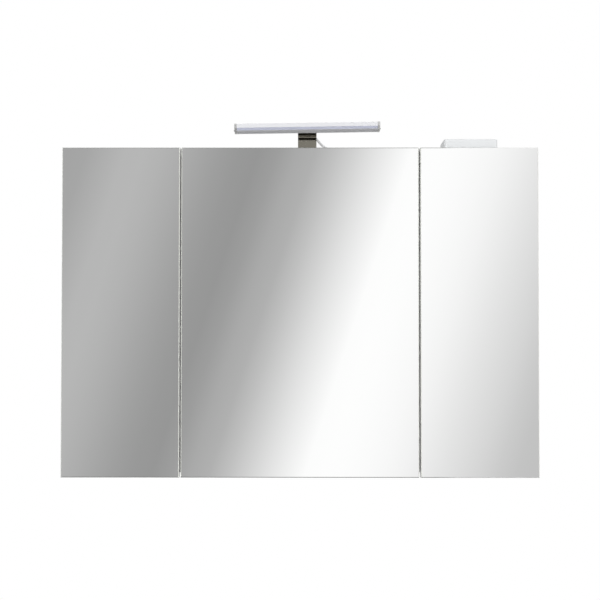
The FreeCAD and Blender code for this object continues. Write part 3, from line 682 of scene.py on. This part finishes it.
class Workshop:
    """Hands out the frame's nodes, and turns meshes into pieces that stand for them."""

    def __init__(self, frame: dict) -> None:
        """Keep the frame at hand.
        """
        self.nodes = frame["nodes"]
        self.slots = {row["node"]: row["material_slot"] for row in frame["record"]["subparts"]}

    def keep(self, finish: Finish, *nodes: str) -> None:
        """Leave CAD nodes as they are and give them a finish.

        Args:
            finish: The finish.
            nodes: Names of the nodes.
        """
        for node in nodes:
            mesh = self.nodes[node].data
            mesh.materials.clear()
            mesh.materials.append(finish.material())
            log.info("%s keeps its solid, in %s", node, finish.name)

    def piece(self, label: str, work: bmesh.types.BMesh, finish: Finish) -> bpy.types.Object:
        """Make a piece of a mesh.

        Args:
            label: Name of the piece.
            work: The mesh, freed here.
            finish: The finish.

        Returns:
            The new piece.
        """
        mesh = bpy.data.meshes.new(label)
        work.to_mesh(mesh)
        work.free()
        custom = mesh.attributes.get("custom_normal")
        if custom:
            mesh.attributes.remove(custom)
        mesh.shade_smooth()
        mesh.set_sharp_from_angle(angle=SHARP_TURN)
        mesh.materials.clear()
        mesh.materials.append(finish.material())
        piece = bpy.data.objects.new(mesh.name, mesh)
        bpy.context.scene.collection.objects.link(piece)
        even = piece.modifiers.new("even_normals", "WEIGHTED_NORMAL")
        even.keep_sharp = True
        return piece

    def stand_in(self, node: str, work: bmesh.types.BMesh, finish: Finish) -> None:
        """Make a piece of a mesh that stands for a CAD node.

        Args:
            node: The node, which gives the piece its body.
            work: The mesh, freed here.
            finish: The finish.
        """
        self.enlist(self.piece(f"{node}_dressed", work, finish), node, finish)

    def add_on(self, label: str, host: str, slot: str, work: bmesh.types.BMesh, finish: Finish) -> None:
        """Make a piece of a mesh that moves with a CAD node and stands for none.

        Args:
            label: Name of the piece.
            host: The node that it is fixed to.
            slot: Its material slot, not used.
            work: The mesh, freed here.
            finish: The finish.
        """
        piece = self.piece(label, work, finish)
        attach(piece, self.nodes[host]["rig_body"])
        log.info("%s sits on %s, in %s", label, host, finish.name)

    def enlist(self, piece: bpy.types.Object, node: str, finish: Finish) -> None:
        """Let a piece ride and stand for a node.

        Args:
            piece: The piece, in place.
            node: The node.
            finish: The piece's finish, for the log.
        """
        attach(piece, self.nodes[node]["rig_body"])
        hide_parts(node)
        log.info("%s stands for %s, in %s", piece.name, node, finish.name)

    def merged(self, node: str) -> bmesh.types.BMesh:
        """A copy of a node's mesh with its loose triangles joined and its flat faces whole.

        Args:
            node: The node.

        Returns:
            The new mesh.
        """
        work = bmesh.new()
        work.from_mesh(self.nodes[node].data)
        bmesh.ops.remove_doubles(work, verts=work.verts, dist=WELD)
        bmesh.ops.dissolve_limit(work, angle_limit=FLAT_TURN, verts=work.verts, edges=work.edges)
        return work

    def soften(self, edge: SoftEdge, finish: Finish, *nodes: str) -> None:
        """Replace nodes by copies with broken edges.

        Args:
            edge: How the edges are broken.
            finish: The finish.
            nodes: Names of the nodes.
        """
        for node in nodes:
            work = self.merged(node)
            edge.apply(work, edge.sharp(work))
            self.stand_in(node, work, finish)

    def solids(self, node: str) -> list[Solid]:
        """The separate solids of a node.

        Args:
            node: The node.

        Returns:
            One entry for each solid.
        """
        work = self.merged(node)
        waiting = set(work.verts)
        found = []
        while waiting:
            front = [waiting.pop()]
            points = []
            while front:
                vert = front.pop()
                points.append(vert.co.copy())
                linked = {edge.other_vert(vert) for edge in vert.link_edges} & waiting
                waiting -= linked
                front.extend(linked)
            found.append(Solid(tuple(points)))
        work.free()
        return found


def pour(part: bmesh.types.BMesh, work: bmesh.types.BMesh, place: Matrix) -> None:
    """Set a finished part into a larger mesh.

    Args:
        part: The part, freed here.
        work: The mesh that takes it.
        place: Where the part's own frame goes.
    """
    bmesh.ops.remove_doubles(part, verts=part.verts, dist=WELD)
    bmesh.ops.recalc_face_normals(part, faces=part.faces)
    bmesh.ops.transform(part, matrix=place, verts=part.verts)
    scratch = bpy.data.meshes.new("scratch")
    part.to_mesh(scratch)
    part.free()
    work.from_mesh(scratch)
    bpy.data.meshes.remove(scratch)


def turned(profile: Profile, steps: int) -> bmesh.types.BMesh:
    """Turn a profile about Z.

    Args:
        profile: Pairs of radius and height.
        steps: Sides of the turned shape.

    Returns:
        The turned mesh.
    """
    part = bmesh.new()
    verts = [part.verts.new((radius, 0.0, height)) for radius, height in profile]
    edges = [part.edges.new(pair) for pair in zip(verts, verts[1:])]
    bmesh.ops.spin(part, geom=verts + edges, cent=(0, 0, 0), axis=UPWARD, angle=math.tau, steps=steps,
                   use_merge=True)
    bmesh.ops.remove_doubles(part, verts=part.verts, dist=WELD)
    return part


def scaled(shape: Profile, radius: float, height: float) -> list[Pair]:
    """A profile at full size, from one in shares of a radius and a height."""
    return [(wide * radius, high * height) for wide, high in shape]


@dataclass(frozen=True)
class CrossRecess:
    """A cross for a screwdriver: reach of its arms, their half width, depth and taper."""

    reach: float
    half: float
    depth: float
    taper: float = 0.6

    def sink(self, part: bmesh.types.BMesh, height: float) -> None:
        """Close the open ring at the top of a turned head with a face that has the cross sunk in it.

        Args:
            part: The turned head.
            height: Height of its open ring.
        """
        ring = [edge for edge in part.edges if edge.is_boundary
                and all(abs(vert.co.z - height) < WELD for vert in edge.verts)]
        made = bmesh.ops.create_grid(part, x_segments=1, y_segments=1, size=self.half)
        bmesh.ops.translate(part, verts=made["verts"], vec=(0, 0, height))
        centre = made["verts"][0].link_faces[0]
        cross = [centre]
        for edge in list(centre.edges):
            outward = (edge.verts[0].co + edge.verts[1].co) / 2
            outward.z = 0
            arm = bmesh.ops.extrude_edge_only(part, edges=[edge])["geom"]
            verts = [item for item in arm if isinstance(item, bmesh.types.BMVert)]
            bmesh.ops.translate(part, verts=verts, vec=outward.normalized() * (self.reach - self.half))
            cross += [item for item in arm if isinstance(item, bmesh.types.BMFace)]
        bmesh.ops.recalc_face_normals(part, faces=cross)
        sunk = bmesh.ops.extrude_face_region(part, geom=cross)["geom"]
        floor = [item for item in sunk if isinstance(item, bmesh.types.BMVert)]
        bmesh.ops.translate(part, verts=floor, vec=(0, 0, -self.depth))
        bmesh.ops.scale(part, verts=floor, vec=(self.taper, self.taper, 1.0))
        left = [face for face in cross if face.is_valid]
        bmesh.ops.delete(part, geom=left, context="FACES_ONLY")
        rim = [edge for edge in part.edges if edge.is_boundary and edge not in ring
               and all(abs(vert.co.z - height) < WELD for vert in edge.verts)]
        bmesh.ops.triangle_fill(part, edges=ring + rim, use_beauty=True)


@dataclass(frozen=True)
class ScrewPlace:
    """Where a screw sits: the seat of its head, the way the head looks, and its sizes."""

    seat: Vector
    out: Vector
    head: float
    rise: float
    shank: float
    bite: float

    # Points past this share of the largest radius are on the head.
    HEAD_SHARE = 0.95

    @classmethod
    def of(cls, solid: Solid, axis: Axis) -> "ScrewPlace":
        """Measure a screw.

        Args:
            solid: The CAD screw.
            axis: The axis that it lies along.

        Returns:
            Its place and sizes.
        """
        along = axis.vector
        rows = []
        for point in solid.points:
            arm = point - solid.middle
            rows.append((point.dot(along), (arm - along * arm.dot(along)).length))
        head = max(radius for _, radius in rows)
        wide = [height for height, radius in rows if radius > cls.HEAD_SHARE * head]
        low, high = min(height for height, _ in rows), max(height for height, _ in rows)
        upward = high - max(wide) < WELD
        seat, tip, way = (min(wide), low, 1.0) if upward else (max(wide), high, -1.0)
        shank = max(radius for height, radius in rows if abs(height - tip) < WELD)
        middle = solid.middle - along * solid.middle.dot(along)
        return cls(middle + along * seat, along * way, head, max(wide) - min(wide), shank, abs(seat - tip))

    def matrix(self) -> Matrix:
        """The frame whose Z runs out of the head and whose origin is on the seat."""
        return Matrix.Translation(self.seat) @ self.out.to_track_quat("Z", "Y").to_matrix().to_4x4()


@dataclass(frozen=True)
class PanScrew:
    """A pan head screw with a cross recess, its forms in shares of a screw's own sizes."""

    sides: int = 24
    crown: Profile = ((0.72, 1.0), (0.88, 0.9), (0.97, 0.68), (1.0, 0.4), (1.0, 0.0))
    point: Profile = ((1.0, 0.0), (1.0, -0.8), (0.0, -1.0))
    cross_reach: float = 0.56
    cross_half: float = 0.13
    cross_depth: float = 0.6

    def add(self, work: bmesh.types.BMesh, place: ScrewPlace) -> None:
        """Model the screw into a mesh.

        Args:
            work: The mesh that takes it.
            place: Where it sits, with its sizes.
        """
        head = scaled(self.crown, place.head, place.rise)
        part = turned(head + scaled(self.point, place.shank, place.bite), self.sides)
        CrossRecess(self.cross_reach * place.head, self.cross_half * place.head,
                    self.cross_depth * place.rise).sink(part, place.rise)
        pour(part, work, place.matrix())


def dress_screws(shop: Workshop, axis: Axis, *nodes: str) -> None:
    """Replace plain CAD screws by pan head screws.

    Args:
        shop: The workshop.
        axis: The axis that they lie along.
        nodes: Names of the screw nodes.
    """
    for node in nodes:
        work = bmesh.new()
        for solid in shop.solids(node):
            PanScrew().add(work, ScrewPlace.of(solid, axis))
        shop.stand_in(node, work, SCREW_ZINC)


@dataclass
class Carcass:
    """Panels, back sheet, corner fittings and hangers."""

    shop: Workshop
    panel_edge: SoftEdge = SoftEdge(0.0008, 2, 0.02)
    plate_edge: SoftEdge = SoftEdge(0.0004, 2, 0.003)
    cam_break: float = 0.0006
    cam_rim: float = 0.0052
    cam_sides: int = 32
    cam_slot: CrossRecess = CrossRecess(0.0042, 0.0008, 0.0022, 0.7)

    def dress(self) -> None:
        """Dress every node of the carcass."""
        self.shop.soften(self.panel_edge, WHITE_BOARD, "left_side_panel", "right_side_panel", "top_panel",
                         "bottom_panel", "left_divider", "right_divider")
        self.shop.keep(BACK_SHEET, "back_panel")
        self.shop.keep(BEECH, "dowels")
        self.shop.keep(ZINC, "cam_bolts")
        self.shop.soften(self.plate_edge, ZINC, "hanger_plates")
        dress_screws(self.shop, Axis.X, "hanger_screws")
        self.cams()

    def cams(self) -> None:
        """Cam locks with a cross slot in the face that lies flush with the panel."""
        work = bmesh.new()
        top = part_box("top_panel")[0].z
        for solid in self.shop.solids("cam_locks"):
            radius = (solid.high.x - solid.low.x) / 2
            height = solid.high.z - solid.low.z
            up = solid.middle.z > top
            part = turned([(self.cam_rim, height), (radius - self.cam_break, height),
                           (radius, height - self.cam_break), (radius, 0.0), (0.0, 0.0)], self.cam_sides)
            self.cam_slot.sink(part, height)
            seat = Vector((solid.middle.x, solid.middle.y, solid.low.z if up else solid.high.z))
            turn = Matrix.Identity(4) if up else Matrix.Rotation(math.pi, 4, "X")
            pour(part, work, Matrix.Translation(seat) @ turn)
        self.shop.stand_in("cam_locks", work, CAST_ZINC)


@dataclass
class Shelving:
    """Glass shelves and the pegs that they rest on."""

    shop: Workshop
    pane_edge: SoftEdge = SoftEdge(0.0006, 2)
    peg_edge: SoftEdge = SoftEdge(0.0005, 2, 0.002)

    def dress(self) -> None:
        """Dress shelves and pegs."""
        self.shop.soften(self.pane_edge, SHELF_GLASS, "left_shelves", "centre_shelves", "right_shelves")
        self.shop.soften(self.peg_edge, ZINC, "shelf_pins")


@dataclass
class HingeFittings:
    """The hinges' plates, arms and screws on the carcass."""

    shop: Workshop
    edge: SoftEdge = SoftEdge(0.0006, 3, 0.002)

    def dress(self) -> None:
        """Dress plates, arms, plate screws and adjusters."""
        self.shop.soften(self.edge, NICKEL, "hinge_plates", "side_hinge_arms", "centre_hinge_arms")
        dress_screws(self.shop, Axis.X, "hinge_plate_screws", "hinge_adjusters")


@dataclass
class MirrorDoor:
    """One door: board, mirror, hinge cups, pins, screws and bumpers."""

    shop: Workshop
    label: str
    board_edge: SoftEdge = SoftEdge(0.0006, 2, 0.03)
    cup_edge: SoftEdge = SoftEdge(0.0003, 2, 0.0012)
    pin_sides: int = 16
    pin_flat: float = 0.7
    pin_break: float = 0.3
    bumper_sides: int = 28
    bumper_dome: Profile = ((0.0, 0.0), (0.96, 0.0), (1.0, 0.12), (0.97, 0.42), (0.85, 0.72),
                            (0.6, 0.9), (0.28, 0.98), (0.0, 1.0))

    def dress(self) -> None:
        """Dress every node of the door."""
        self.shop.soften(self.board_edge, WHITE_BOARD, f"{self.label}_door_board")
        self.shop.keep(MIRROR, f"{self.label}_mirror")
        self.shop.soften(self.cup_edge, NICKEL, f"{self.label}_hinge_cups")
        dress_screws(self.shop, Axis.Y, f"{self.label}_cup_screws")
        self.pins()
        self.bumpers()

    def pins(self) -> None:
        """Hinge pins with rounded ends."""
        node = f"{self.label}_hinge_pins"
        work = bmesh.new()
        for solid in self.shop.solids(node):
            radius = (solid.high.x - solid.low.x) / 2
            length = solid.high.z - solid.low.z
            flat = self.pin_flat * radius
            part = turned([(0.0, 0.0), (flat, 0.0), (radius, self.pin_break * radius),
                           (radius, length - self.pin_break * radius), (flat, length), (0.0, length)],
                          self.pin_sides)
            pour(part, work, Matrix.Translation((solid.middle.x, solid.middle.y, solid.low.z)))
        self.shop.stand_in(node, work, NICKEL)

    def bumpers(self) -> None:
        """Domed clear bumpers stuck on the back of the board."""
        node = f"{self.label}_bumpers"
        work = bmesh.new()
        for solid in self.shop.solids(node):
            radius = (solid.high.x - solid.low.x) / 2
            height = solid.high.y - solid.low.y
            part = turned(scaled(self.bumper_dome, radius, height), self.bumper_sides)
            seat = Vector((solid.middle.x, solid.low.y, solid.middle.z))
            pour(part, work, Matrix.Translation(seat) @ Matrix.Rotation(-QUARTER_TURN, 4, "X"))
        self.shop.stand_in(node, work, BUMPER)


@dataclass
class LampBar:
    """The lamp bar with its bracket."""

    shop: Workshop
    body_edge: SoftEdge = SoftEdge(0.0005, 2)
    cap_edge: SoftEdge = SoftEdge(0.0008, 3)
    strip_edge: SoftEdge = SoftEdge(0.0005, 3, 0.003)
    cap_screw_head: float = 0.0021
    cap_screw_rise: float = 0.0014
    cap_screw_shank: float = 0.0011
    cap_screw_bite: float = 0.004
    cap_screw_drop: float = 0.0035
    cap_screw_sink: float = 0.0002
    grommet_sides: int = 24
    grommet_nose: Profile = ((1.0, 0.0), (1.0, 0.7), (0.95, 0.85), (0.8, 0.96), (0.65, 1.0))
    grommet_mouth: float = 0.97

    def dress(self) -> None:
        """Dress every node of the lamp and its bracket."""
        self.shop.soften(self.body_edge, LAMP_COAT, "lamp_housing")
        self.shop.soften(self.body_edge, OPAL, "lamp_diffuser")
        self.shop.soften(self.cap_edge, CAP_METAL, "lamp_end_caps")
        self.shop.soften(self.strip_edge, CHROME, "lamp_bracket")
        self.shop.keep(CIRCUIT, "led_board")
        self.shop.keep(LED_CAP, "led_chips")
        dress_screws(self.shop, Axis.Y, "lamp_fixing_screws")
        dress_screws(self.shop, Axis.Z, "bracket_screws")
        self.cap_screws()
        self.grommet()

    def cap_screws(self) -> None:
        """A small screw in the outer face of each end cap, below its middle."""
        low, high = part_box("lamp_housing")
        work = bmesh.new()
        for solid in self.shop.solids("lamp_end_caps"):
            right = solid.middle.x > (low.x + high.x) / 2
            out = Axis.X.vector if right else -Axis.X.vector
            face = solid.high.x if right else solid.low.x
            spot = Vector((face, solid.middle.y, solid.middle.z - self.cap_screw_drop))
            place = ScrewPlace(spot - out * self.cap_screw_sink, out, self.cap_screw_head,
                               self.cap_screw_rise, self.cap_screw_shank, self.cap_screw_bite)
            PanScrew().add(work, place)
        slot = self.shop.slots["lamp_fixing_screws"]
        self.shop.add_on("end_cap_screws", "lamp_end_caps", slot, work, SCREW_ZINC)

    def grommet(self) -> None:
        """The ring that guards the cable where it leaves the housing."""
        low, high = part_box("cable_grommet")
        radius = (high.x - low.x) / 2
        length = high.y - low.y
        profile = [(CABLE_HOLE, 0.0), *scaled(self.grommet_nose, radius, length),
                   (CABLE_HOLE, self.grommet_mouth * length), (CABLE_HOLE, 0.0)]
        middle = (low + high) / 2
        work = bmesh.new()
        pour(turned(profile, self.grommet_sides), work,
             Matrix.Translation((middle.x, low.y, middle.z)) @ Matrix.Rotation(-QUARTER_TURN, 4, "X"))
        self.shop.stand_in("cable_grommet", work, CABLE_SHEATH)


@dataclass
class LampCable:
    """The cable from the lamp bar to the supply box, on the route of its solid."""

    shop: Workshop
    diameter: float = 0.005
    length: float = 0.367
    line_order: int = 3
    line_steps: int = 10
    round_steps: int = 5
    route: tuple[Triple, ...] = (
        (0.0150, -0.2275, 0.07525), (0.0150, -0.2140, 0.07525), (0.0160, -0.1980, 0.0748),
        (0.0195, -0.1820, 0.0738), (0.0260, -0.1675, 0.0708), (0.0340, -0.1600, 0.0626),
        (0.0525, -0.1475, 0.0436), (0.0720, -0.1370, 0.0427), (0.1000, -0.1230, 0.0427),
        (0.1320, -0.1040, 0.0427), (0.1680, -0.0870, 0.0427), (0.2040, -0.0800, 0.0427),
        (0.2360, -0.0710, 0.0429), (0.2620, -0.0626, 0.045), (0.2815, -0.0615, 0.047),
        (0.2975, -0.0615, 0.047))

    def dress(self) -> None:
        curve = bpy.data.curves.new("lamp_cable_line", "CURVE")
        curve.dimensions = "3D"
        curve.bevel_depth = self.diameter / 2
        curve.bevel_resolution = self.round_steps
        curve.resolution_u = self.line_steps
        curve.use_fill_caps = True
        spline = curve.splines.new("NURBS")
        spline.points.add(len(self.route) - 1)
        for point, spot in zip(spline.points, self.route):
            point.co = (*spot, 1.0)
        spline.order_u = self.line_order
        spline.use_endpoint_u = True
        curve.materials.append(CABLE_SHEATH.material())
        cable = bpy.data.objects.new("lamp_cable_laid", curve)
        bpy.context.scene.collection.objects.link(cable)
        self.shop.enlist(cable, "lamp_cable", CABLE_SHEATH)


@dataclass
class SupplyBox:
    """The white box on the top panel with its gland and inlet."""

    shop: Workshop
    shell_edge: SoftEdge = SoftEdge(0.0004, 2, 0.004)
    ring_edge: SoftEdge = SoftEdge(0.0005, 2)
    parting: SoftEdge = SoftEdge(0.0008, 1, clamp=False)
    rim_reach: float = 0.0015
    ribs: int = 4
    rib_shape: Profile = ((1.0, 0.18), (1.0, 0.62), (0.84, 0.7), (0.84, 0.98))
    gland_tip: float = 0.7
    gland_last_rib: float = 0.86
    gland_collar: float = 0.24
    gland_step: float = 0.001
    gland_sides: int = 28

    def dress(self) -> None:
        """Dress every node of the box."""
        self.shop.soften(self.shell_edge, BOX_PLASTIC, "supply_lid")
        self.base()
        self.shop.soften(self.ring_edge, BOX_PLASTIC, "mains_inlet")
        self.shop.keep(CIRCUIT, "supply_board")
        self.shop.keep(TERMINAL_PLASTIC, "terminal_block")
        dress_screws(self.shop, Axis.Z, "supply_lid_screws")
        self.gland()

    def base(self) -> None:
        """The lower half, its outer rim cut back so that a parting line shows under the lid."""
        low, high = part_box("supply_base")
        work = self.shop.merged("supply_base")
        rim = []
        for edge in work.edges:
            spot = (edge.verts[0].co + edge.verts[1].co) / 2
            inward = min(spot.x - low.x, high.x - spot.x, spot.y - low.y, high.y - spot.y)
            if all(high.z - vert.co.z < WELD for vert in edge.verts) and inward < self.rim_reach:
                rim.append(edge)
        self.shell_edge.apply(work, [edge for edge in self.shell_edge.sharp(work) if edge not in rim])
        self.parting.apply(work, [edge for edge in rim if edge.is_valid])
        self.shop.stand_in("supply_base", work, BOX_PLASTIC)

    def gland(self) -> None:
        """A tapered, ribbed sleeve that holds the cable where it enters the box."""
        low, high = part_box("cable_gland")
        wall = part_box("supply_base")[0].x
        radius = (high.z - low.z) / 2
        tail = wall - low.x
        tip = self.gland_tip * radius
        collar = self.gland_collar * tail
        profile = [(CABLE_HOLE, 0.0), (tip, 0.0)]
        pitch = (tail - collar) / self.ribs
        for rib in range(self.ribs):
            wide = tip + (radius * self.gland_last_rib - tip) * (rib + 1) / self.ribs
            profile += [(share * wide, rib * pitch + along * pitch) for share, along in self.rib_shape]
        neck = radius - self.gland_step
        profile += [(radius, tail - collar), (radius, tail), (neck, tail), (neck, high.x - low.x),
                    (CABLE_HOLE, high.x - low.x), (CABLE_HOLE, 0.0)]
        middle = (low + high) / 2
        work = bmesh.new()
        pour(turned(profile, self.gland_sides), work,
             Matrix.Translation((low.x, middle.y, middle.z)) @ Matrix.Rotation(QUARTER_TURN, 4, "Y"))
        self.shop.stand_in("cable_gland", work, BOX_PLASTIC)


@dataclass(frozen=True)
class SoftLamp:
    """A square soft lamp: place, what it looks at, side and power."""

    name: str
    place: Triple
    target: Triple
    side: float
    power: float

    def hang(self) -> None:
        """Put the lamp into the scene."""
        data = bpy.data.lights.new(self.name, "AREA")
        data.size = self.side
        data.energy = self.power
        lamp = bpy.data.objects.new(self.name, data)
        lamp.location = self.place
        lamp.rotation_euler = (Vector(self.target) - Vector(self.place)).to_track_quat("-Z", "Y").to_euler()
        lamp.visible_glossy = False
        bpy.context.scene.collection.objects.link(lamp)


@dataclass(frozen=True)
class SoftPatch:
    """A soft bright patch of the surroundings: direction, cosines of its full and outer reach, level."""

    toward: Triple
    full: float
    outer: float
    level: float


@dataclass
class Studio:
    """Camera, soft light, white surroundings and a pale floor."""

    camera_place: Triple = (0.0152, -3.3973, -0.3859)
    camera_yaw: float = math.radians(-0.272)
    camera_pitch: float = math.radians(1.893)
    camera_roll: float = math.radians(-0.031)
    focal_px: float = 1533.0
    image_px: float = 600.0
    sensor: float = 36.0
    floor_height: float = -1.75
    floor_side: float = 9.0
    floor_colour: Triple = (0.22, 0.22, 0.22)
    floor_roughness: float = 0.9
    floor_glow: float = 0.94
    floor_tones: Pair = (0.12, 0.5)
    floor_bands: float = 1.9
    # Light from below and from above, and the band of upward directions through which it grows.
    fill_levels: Pair = (0.05, 0.6)
    fill_band: Pair = (-0.7, 0.7)
    # What the mirrors show goes by a direction's slopes, sideways and up for one forward.
    least_forward: float = 0.08
    dark_slope: float = 0.14
    dark_aside: Pair = (0.03, 0.045)
    dark_upright: Pair = (0.018, 0.03)
    dark_colour: Triple = (0.02, 0.019, 0.017)
    tone_reach: float = 1.6
    tone_slant: float = 0.33
    tones: tuple[Pair, ...] = (
        (-1.6, 0.5), (-1.05, 0.82), (-0.62, 0.46), (-0.36, 0.72), (-0.204, 0.385), (-0.153, 0.48),
        (-0.08, 0.313), (-0.049, 0.408), (-0.0254, 0.53), (0.0215, 0.95), (0.045, 1.0), (0.096, 0.87),
        (0.143, 0.645), (0.18, 0.54), (0.36, 0.72), (0.62, 0.5), (1.05, 0.85), (1.6, 0.55))
    patches: tuple[SoftPatch, ...] = (
        SoftPatch((0.083, -0.985, 0.15), 0.96, 0.84, 2.9),
        SoftPatch((0.92, -0.39, 0.05), 0.93, 0.8, 0.93),
        SoftPatch((-0.93, -0.36, -0.08), 0.93, 0.8, 0.93),
        SoftPatch((0.0, -0.8, -0.6), 0.93, 0.85, 0.35),
    )
    rear_lamp: SoftLamp = SoftLamp("rear_lamp", (-0.6, 2.8, 1.6), (0.0, 0.0, -0.3), 1.8, 38.0)

    def set_up(self) -> None:
        """Build the studio."""
        bpy.context.scene.view_settings.view_transform = "Standard"
        self.camera()
        self.surroundings()
        self.floor()
        self.rear_lamp.hang()

    def camera(self) -> None:
        """Stand the camera where the photograph was taken from."""
        data = bpy.data.cameras.new("camera")
        data.sensor_width = self.sensor
        data.lens = self.focal_px * self.sensor / self.image_px
        camera = bpy.data.objects.new("camera", data)
        camera.location = self.camera_place
        turn = (Matrix.Rotation(-self.camera_yaw, 3, "Z")
                @ Matrix.Rotation(QUARTER_TURN + self.camera_pitch, 3, "X")
                @ Matrix.Rotation(-self.camera_roll, 3, "Z"))
        camera.rotation_euler = turn.to_euler()
        bpy.context.scene.collection.objects.link(camera)
        bpy.context.scene.camera = camera

    def surroundings(self) -> None:
        """White to the eye, soft patches of light for the object, and slanted tones for the mirrors."""
        world = bpy.data.worlds.new("surroundings")
        bpy.context.scene.world = world
        graph = Graph(world)
        heading = graph.place.outputs["Generated"]
        aside, inward, upward = graph.parts(heading)
        path = graph.add("LightPath").outputs
        seen = graph.reckon("MAXIMUM", path["Is Camera Ray"], path["Is Transmission Ray"])
        fill = graph.span(upward, *self.fill_levels, *self.fill_band)
        for patch in self.patches:
            aim = graph.cosine(heading, patch.toward)
            fill = graph.reckon("ADD", fill, graph.span(aim, 0.0, patch.level, patch.outer, patch.full))
        plain = graph.add("Background")
        graph.feed(plain, Color=WHITE, Strength=graph.span(seen, fill, 1.0))
        forward = graph.reckon("MAXIMUM", graph.reckon("MULTIPLY", inward, -1.0), self.least_forward)
        toned = graph.add("Background")
        graph.feed(toned, Color=self.room_tones(graph, graph.reckon("DIVIDE", aside, forward),
                                                graph.reckon("DIVIDE", upward, forward)))
        either = graph.add("MixShader")
        share, first, second = either.inputs
        graph.join(path["Is Glossy Ray"], share)
        graph.join(plain.outputs[0], first)
        graph.join(toned.outputs[0], second)
        graph.join(either.outputs[0], graph.add("OutputWorld").inputs["Surface"])

    def room_tones(self, graph: Graph, across: Socket, upward: Socket) -> Socket:
        """The tones of the room in front of the mirrors, with the dark of the camera's own place.

        Args:
            graph: The world's node tree.
            across: Sideways slope of the direction.
            upward: Upward slope of the direction.

        Returns:
            The colour.
        """
        slant = graph.reckon("SUBTRACT", across, graph.reckon("MULTIPLY", upward, self.tone_slant))
        ramp = graph.add("ValToRGB")
        ramp.color_ramp.interpolation = "CARDINAL"
        stops = ramp.color_ramp.elements
        middle = 0.5
        while len(stops) < len(self.tones):
            stops.new(middle)
        for stop, (slope, tone) in zip(stops, self.tones):
            stop.position = slope / (2.0 * self.tone_reach) + middle
            stop.color = (tone, tone, tone, 1.0)
        graph.join(graph.rise(slant, (-self.tone_reach, self.tone_reach)), ramp.inputs["Fac"])
        aside = graph.reckon("ABSOLUTE", across)
        below = graph.reckon("ABSOLUTE", graph.reckon("ADD", upward, self.dark_slope))
        dark = graph.reckon("MULTIPLY", graph.span(aside, 1.0, 0.0, *self.dark_aside),
                            graph.span(below, 1.0, 0.0, *self.dark_upright))
        return graph.blend(dark, ramp.outputs["Color"], self.dark_colour)

    def floor(self) -> None:
        """A pale floor below the cabinet that stays white to the eye and keeps the shadow."""
        work = bmesh.new()
        made = bmesh.ops.create_grid(work, x_segments=1, y_segments=1, size=self.floor_side / 2)
        bmesh.ops.translate(work, verts=made["verts"], vec=(0.0, 0.0, self.floor_height))
        mesh = bpy.data.meshes.new("floor")
        work.to_mesh(mesh)
        work.free()
        graph = Coat("floor_white")
        path = graph.add("LightPath").outputs
        across, inward, _ = graph.parts(graph.place.outputs["Object"])
        slant = graph.reckon("ADD", across, graph.reckon("MULTIPLY", inward, self.tone_slant))
        wave = graph.reckon("SINE", graph.reckon("MULTIPLY", slant, self.floor_bands))
        tone = graph.span(wave, *self.floor_tones, -1.0, 1.0)
        glow = graph.reckon("ADD", graph.reckon("MULTIPLY", path["Is Camera Ray"], self.floor_glow),
                            graph.reckon("MULTIPLY", path["Is Glossy Ray"], tone))
        graph.set(Base_Color=self.floor_colour, Roughness=self.floor_roughness, Specular_IOR_Level=0.0,
                  Emission_Color=WHITE, Emission_Strength=glow)
        mesh.materials.append(graph.material)
        floor = bpy.data.objects.new("floor", mesh)
        bpy.context.scene.collection.objects.link(floor)


def main() -> None:
    """Load the frame, dress each sub-assembly and set up the studio."""
    logging.basicConfig(level=logging.INFO, format="%(name)s: %(message)s")
    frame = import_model()
    shop = Workshop(frame)
    doors = [MirrorDoor(shop, label) for label in ("left", "centre", "right")]
    for assembly in (Carcass(shop), Shelving(shop), HingeFittings(shop), *doors, LampBar(shop),
                     LampCable(shop), SupplyBox(shop)):
        assembly.dress()
    Studio().set_up()


if __name__ == "__main__":
    main()
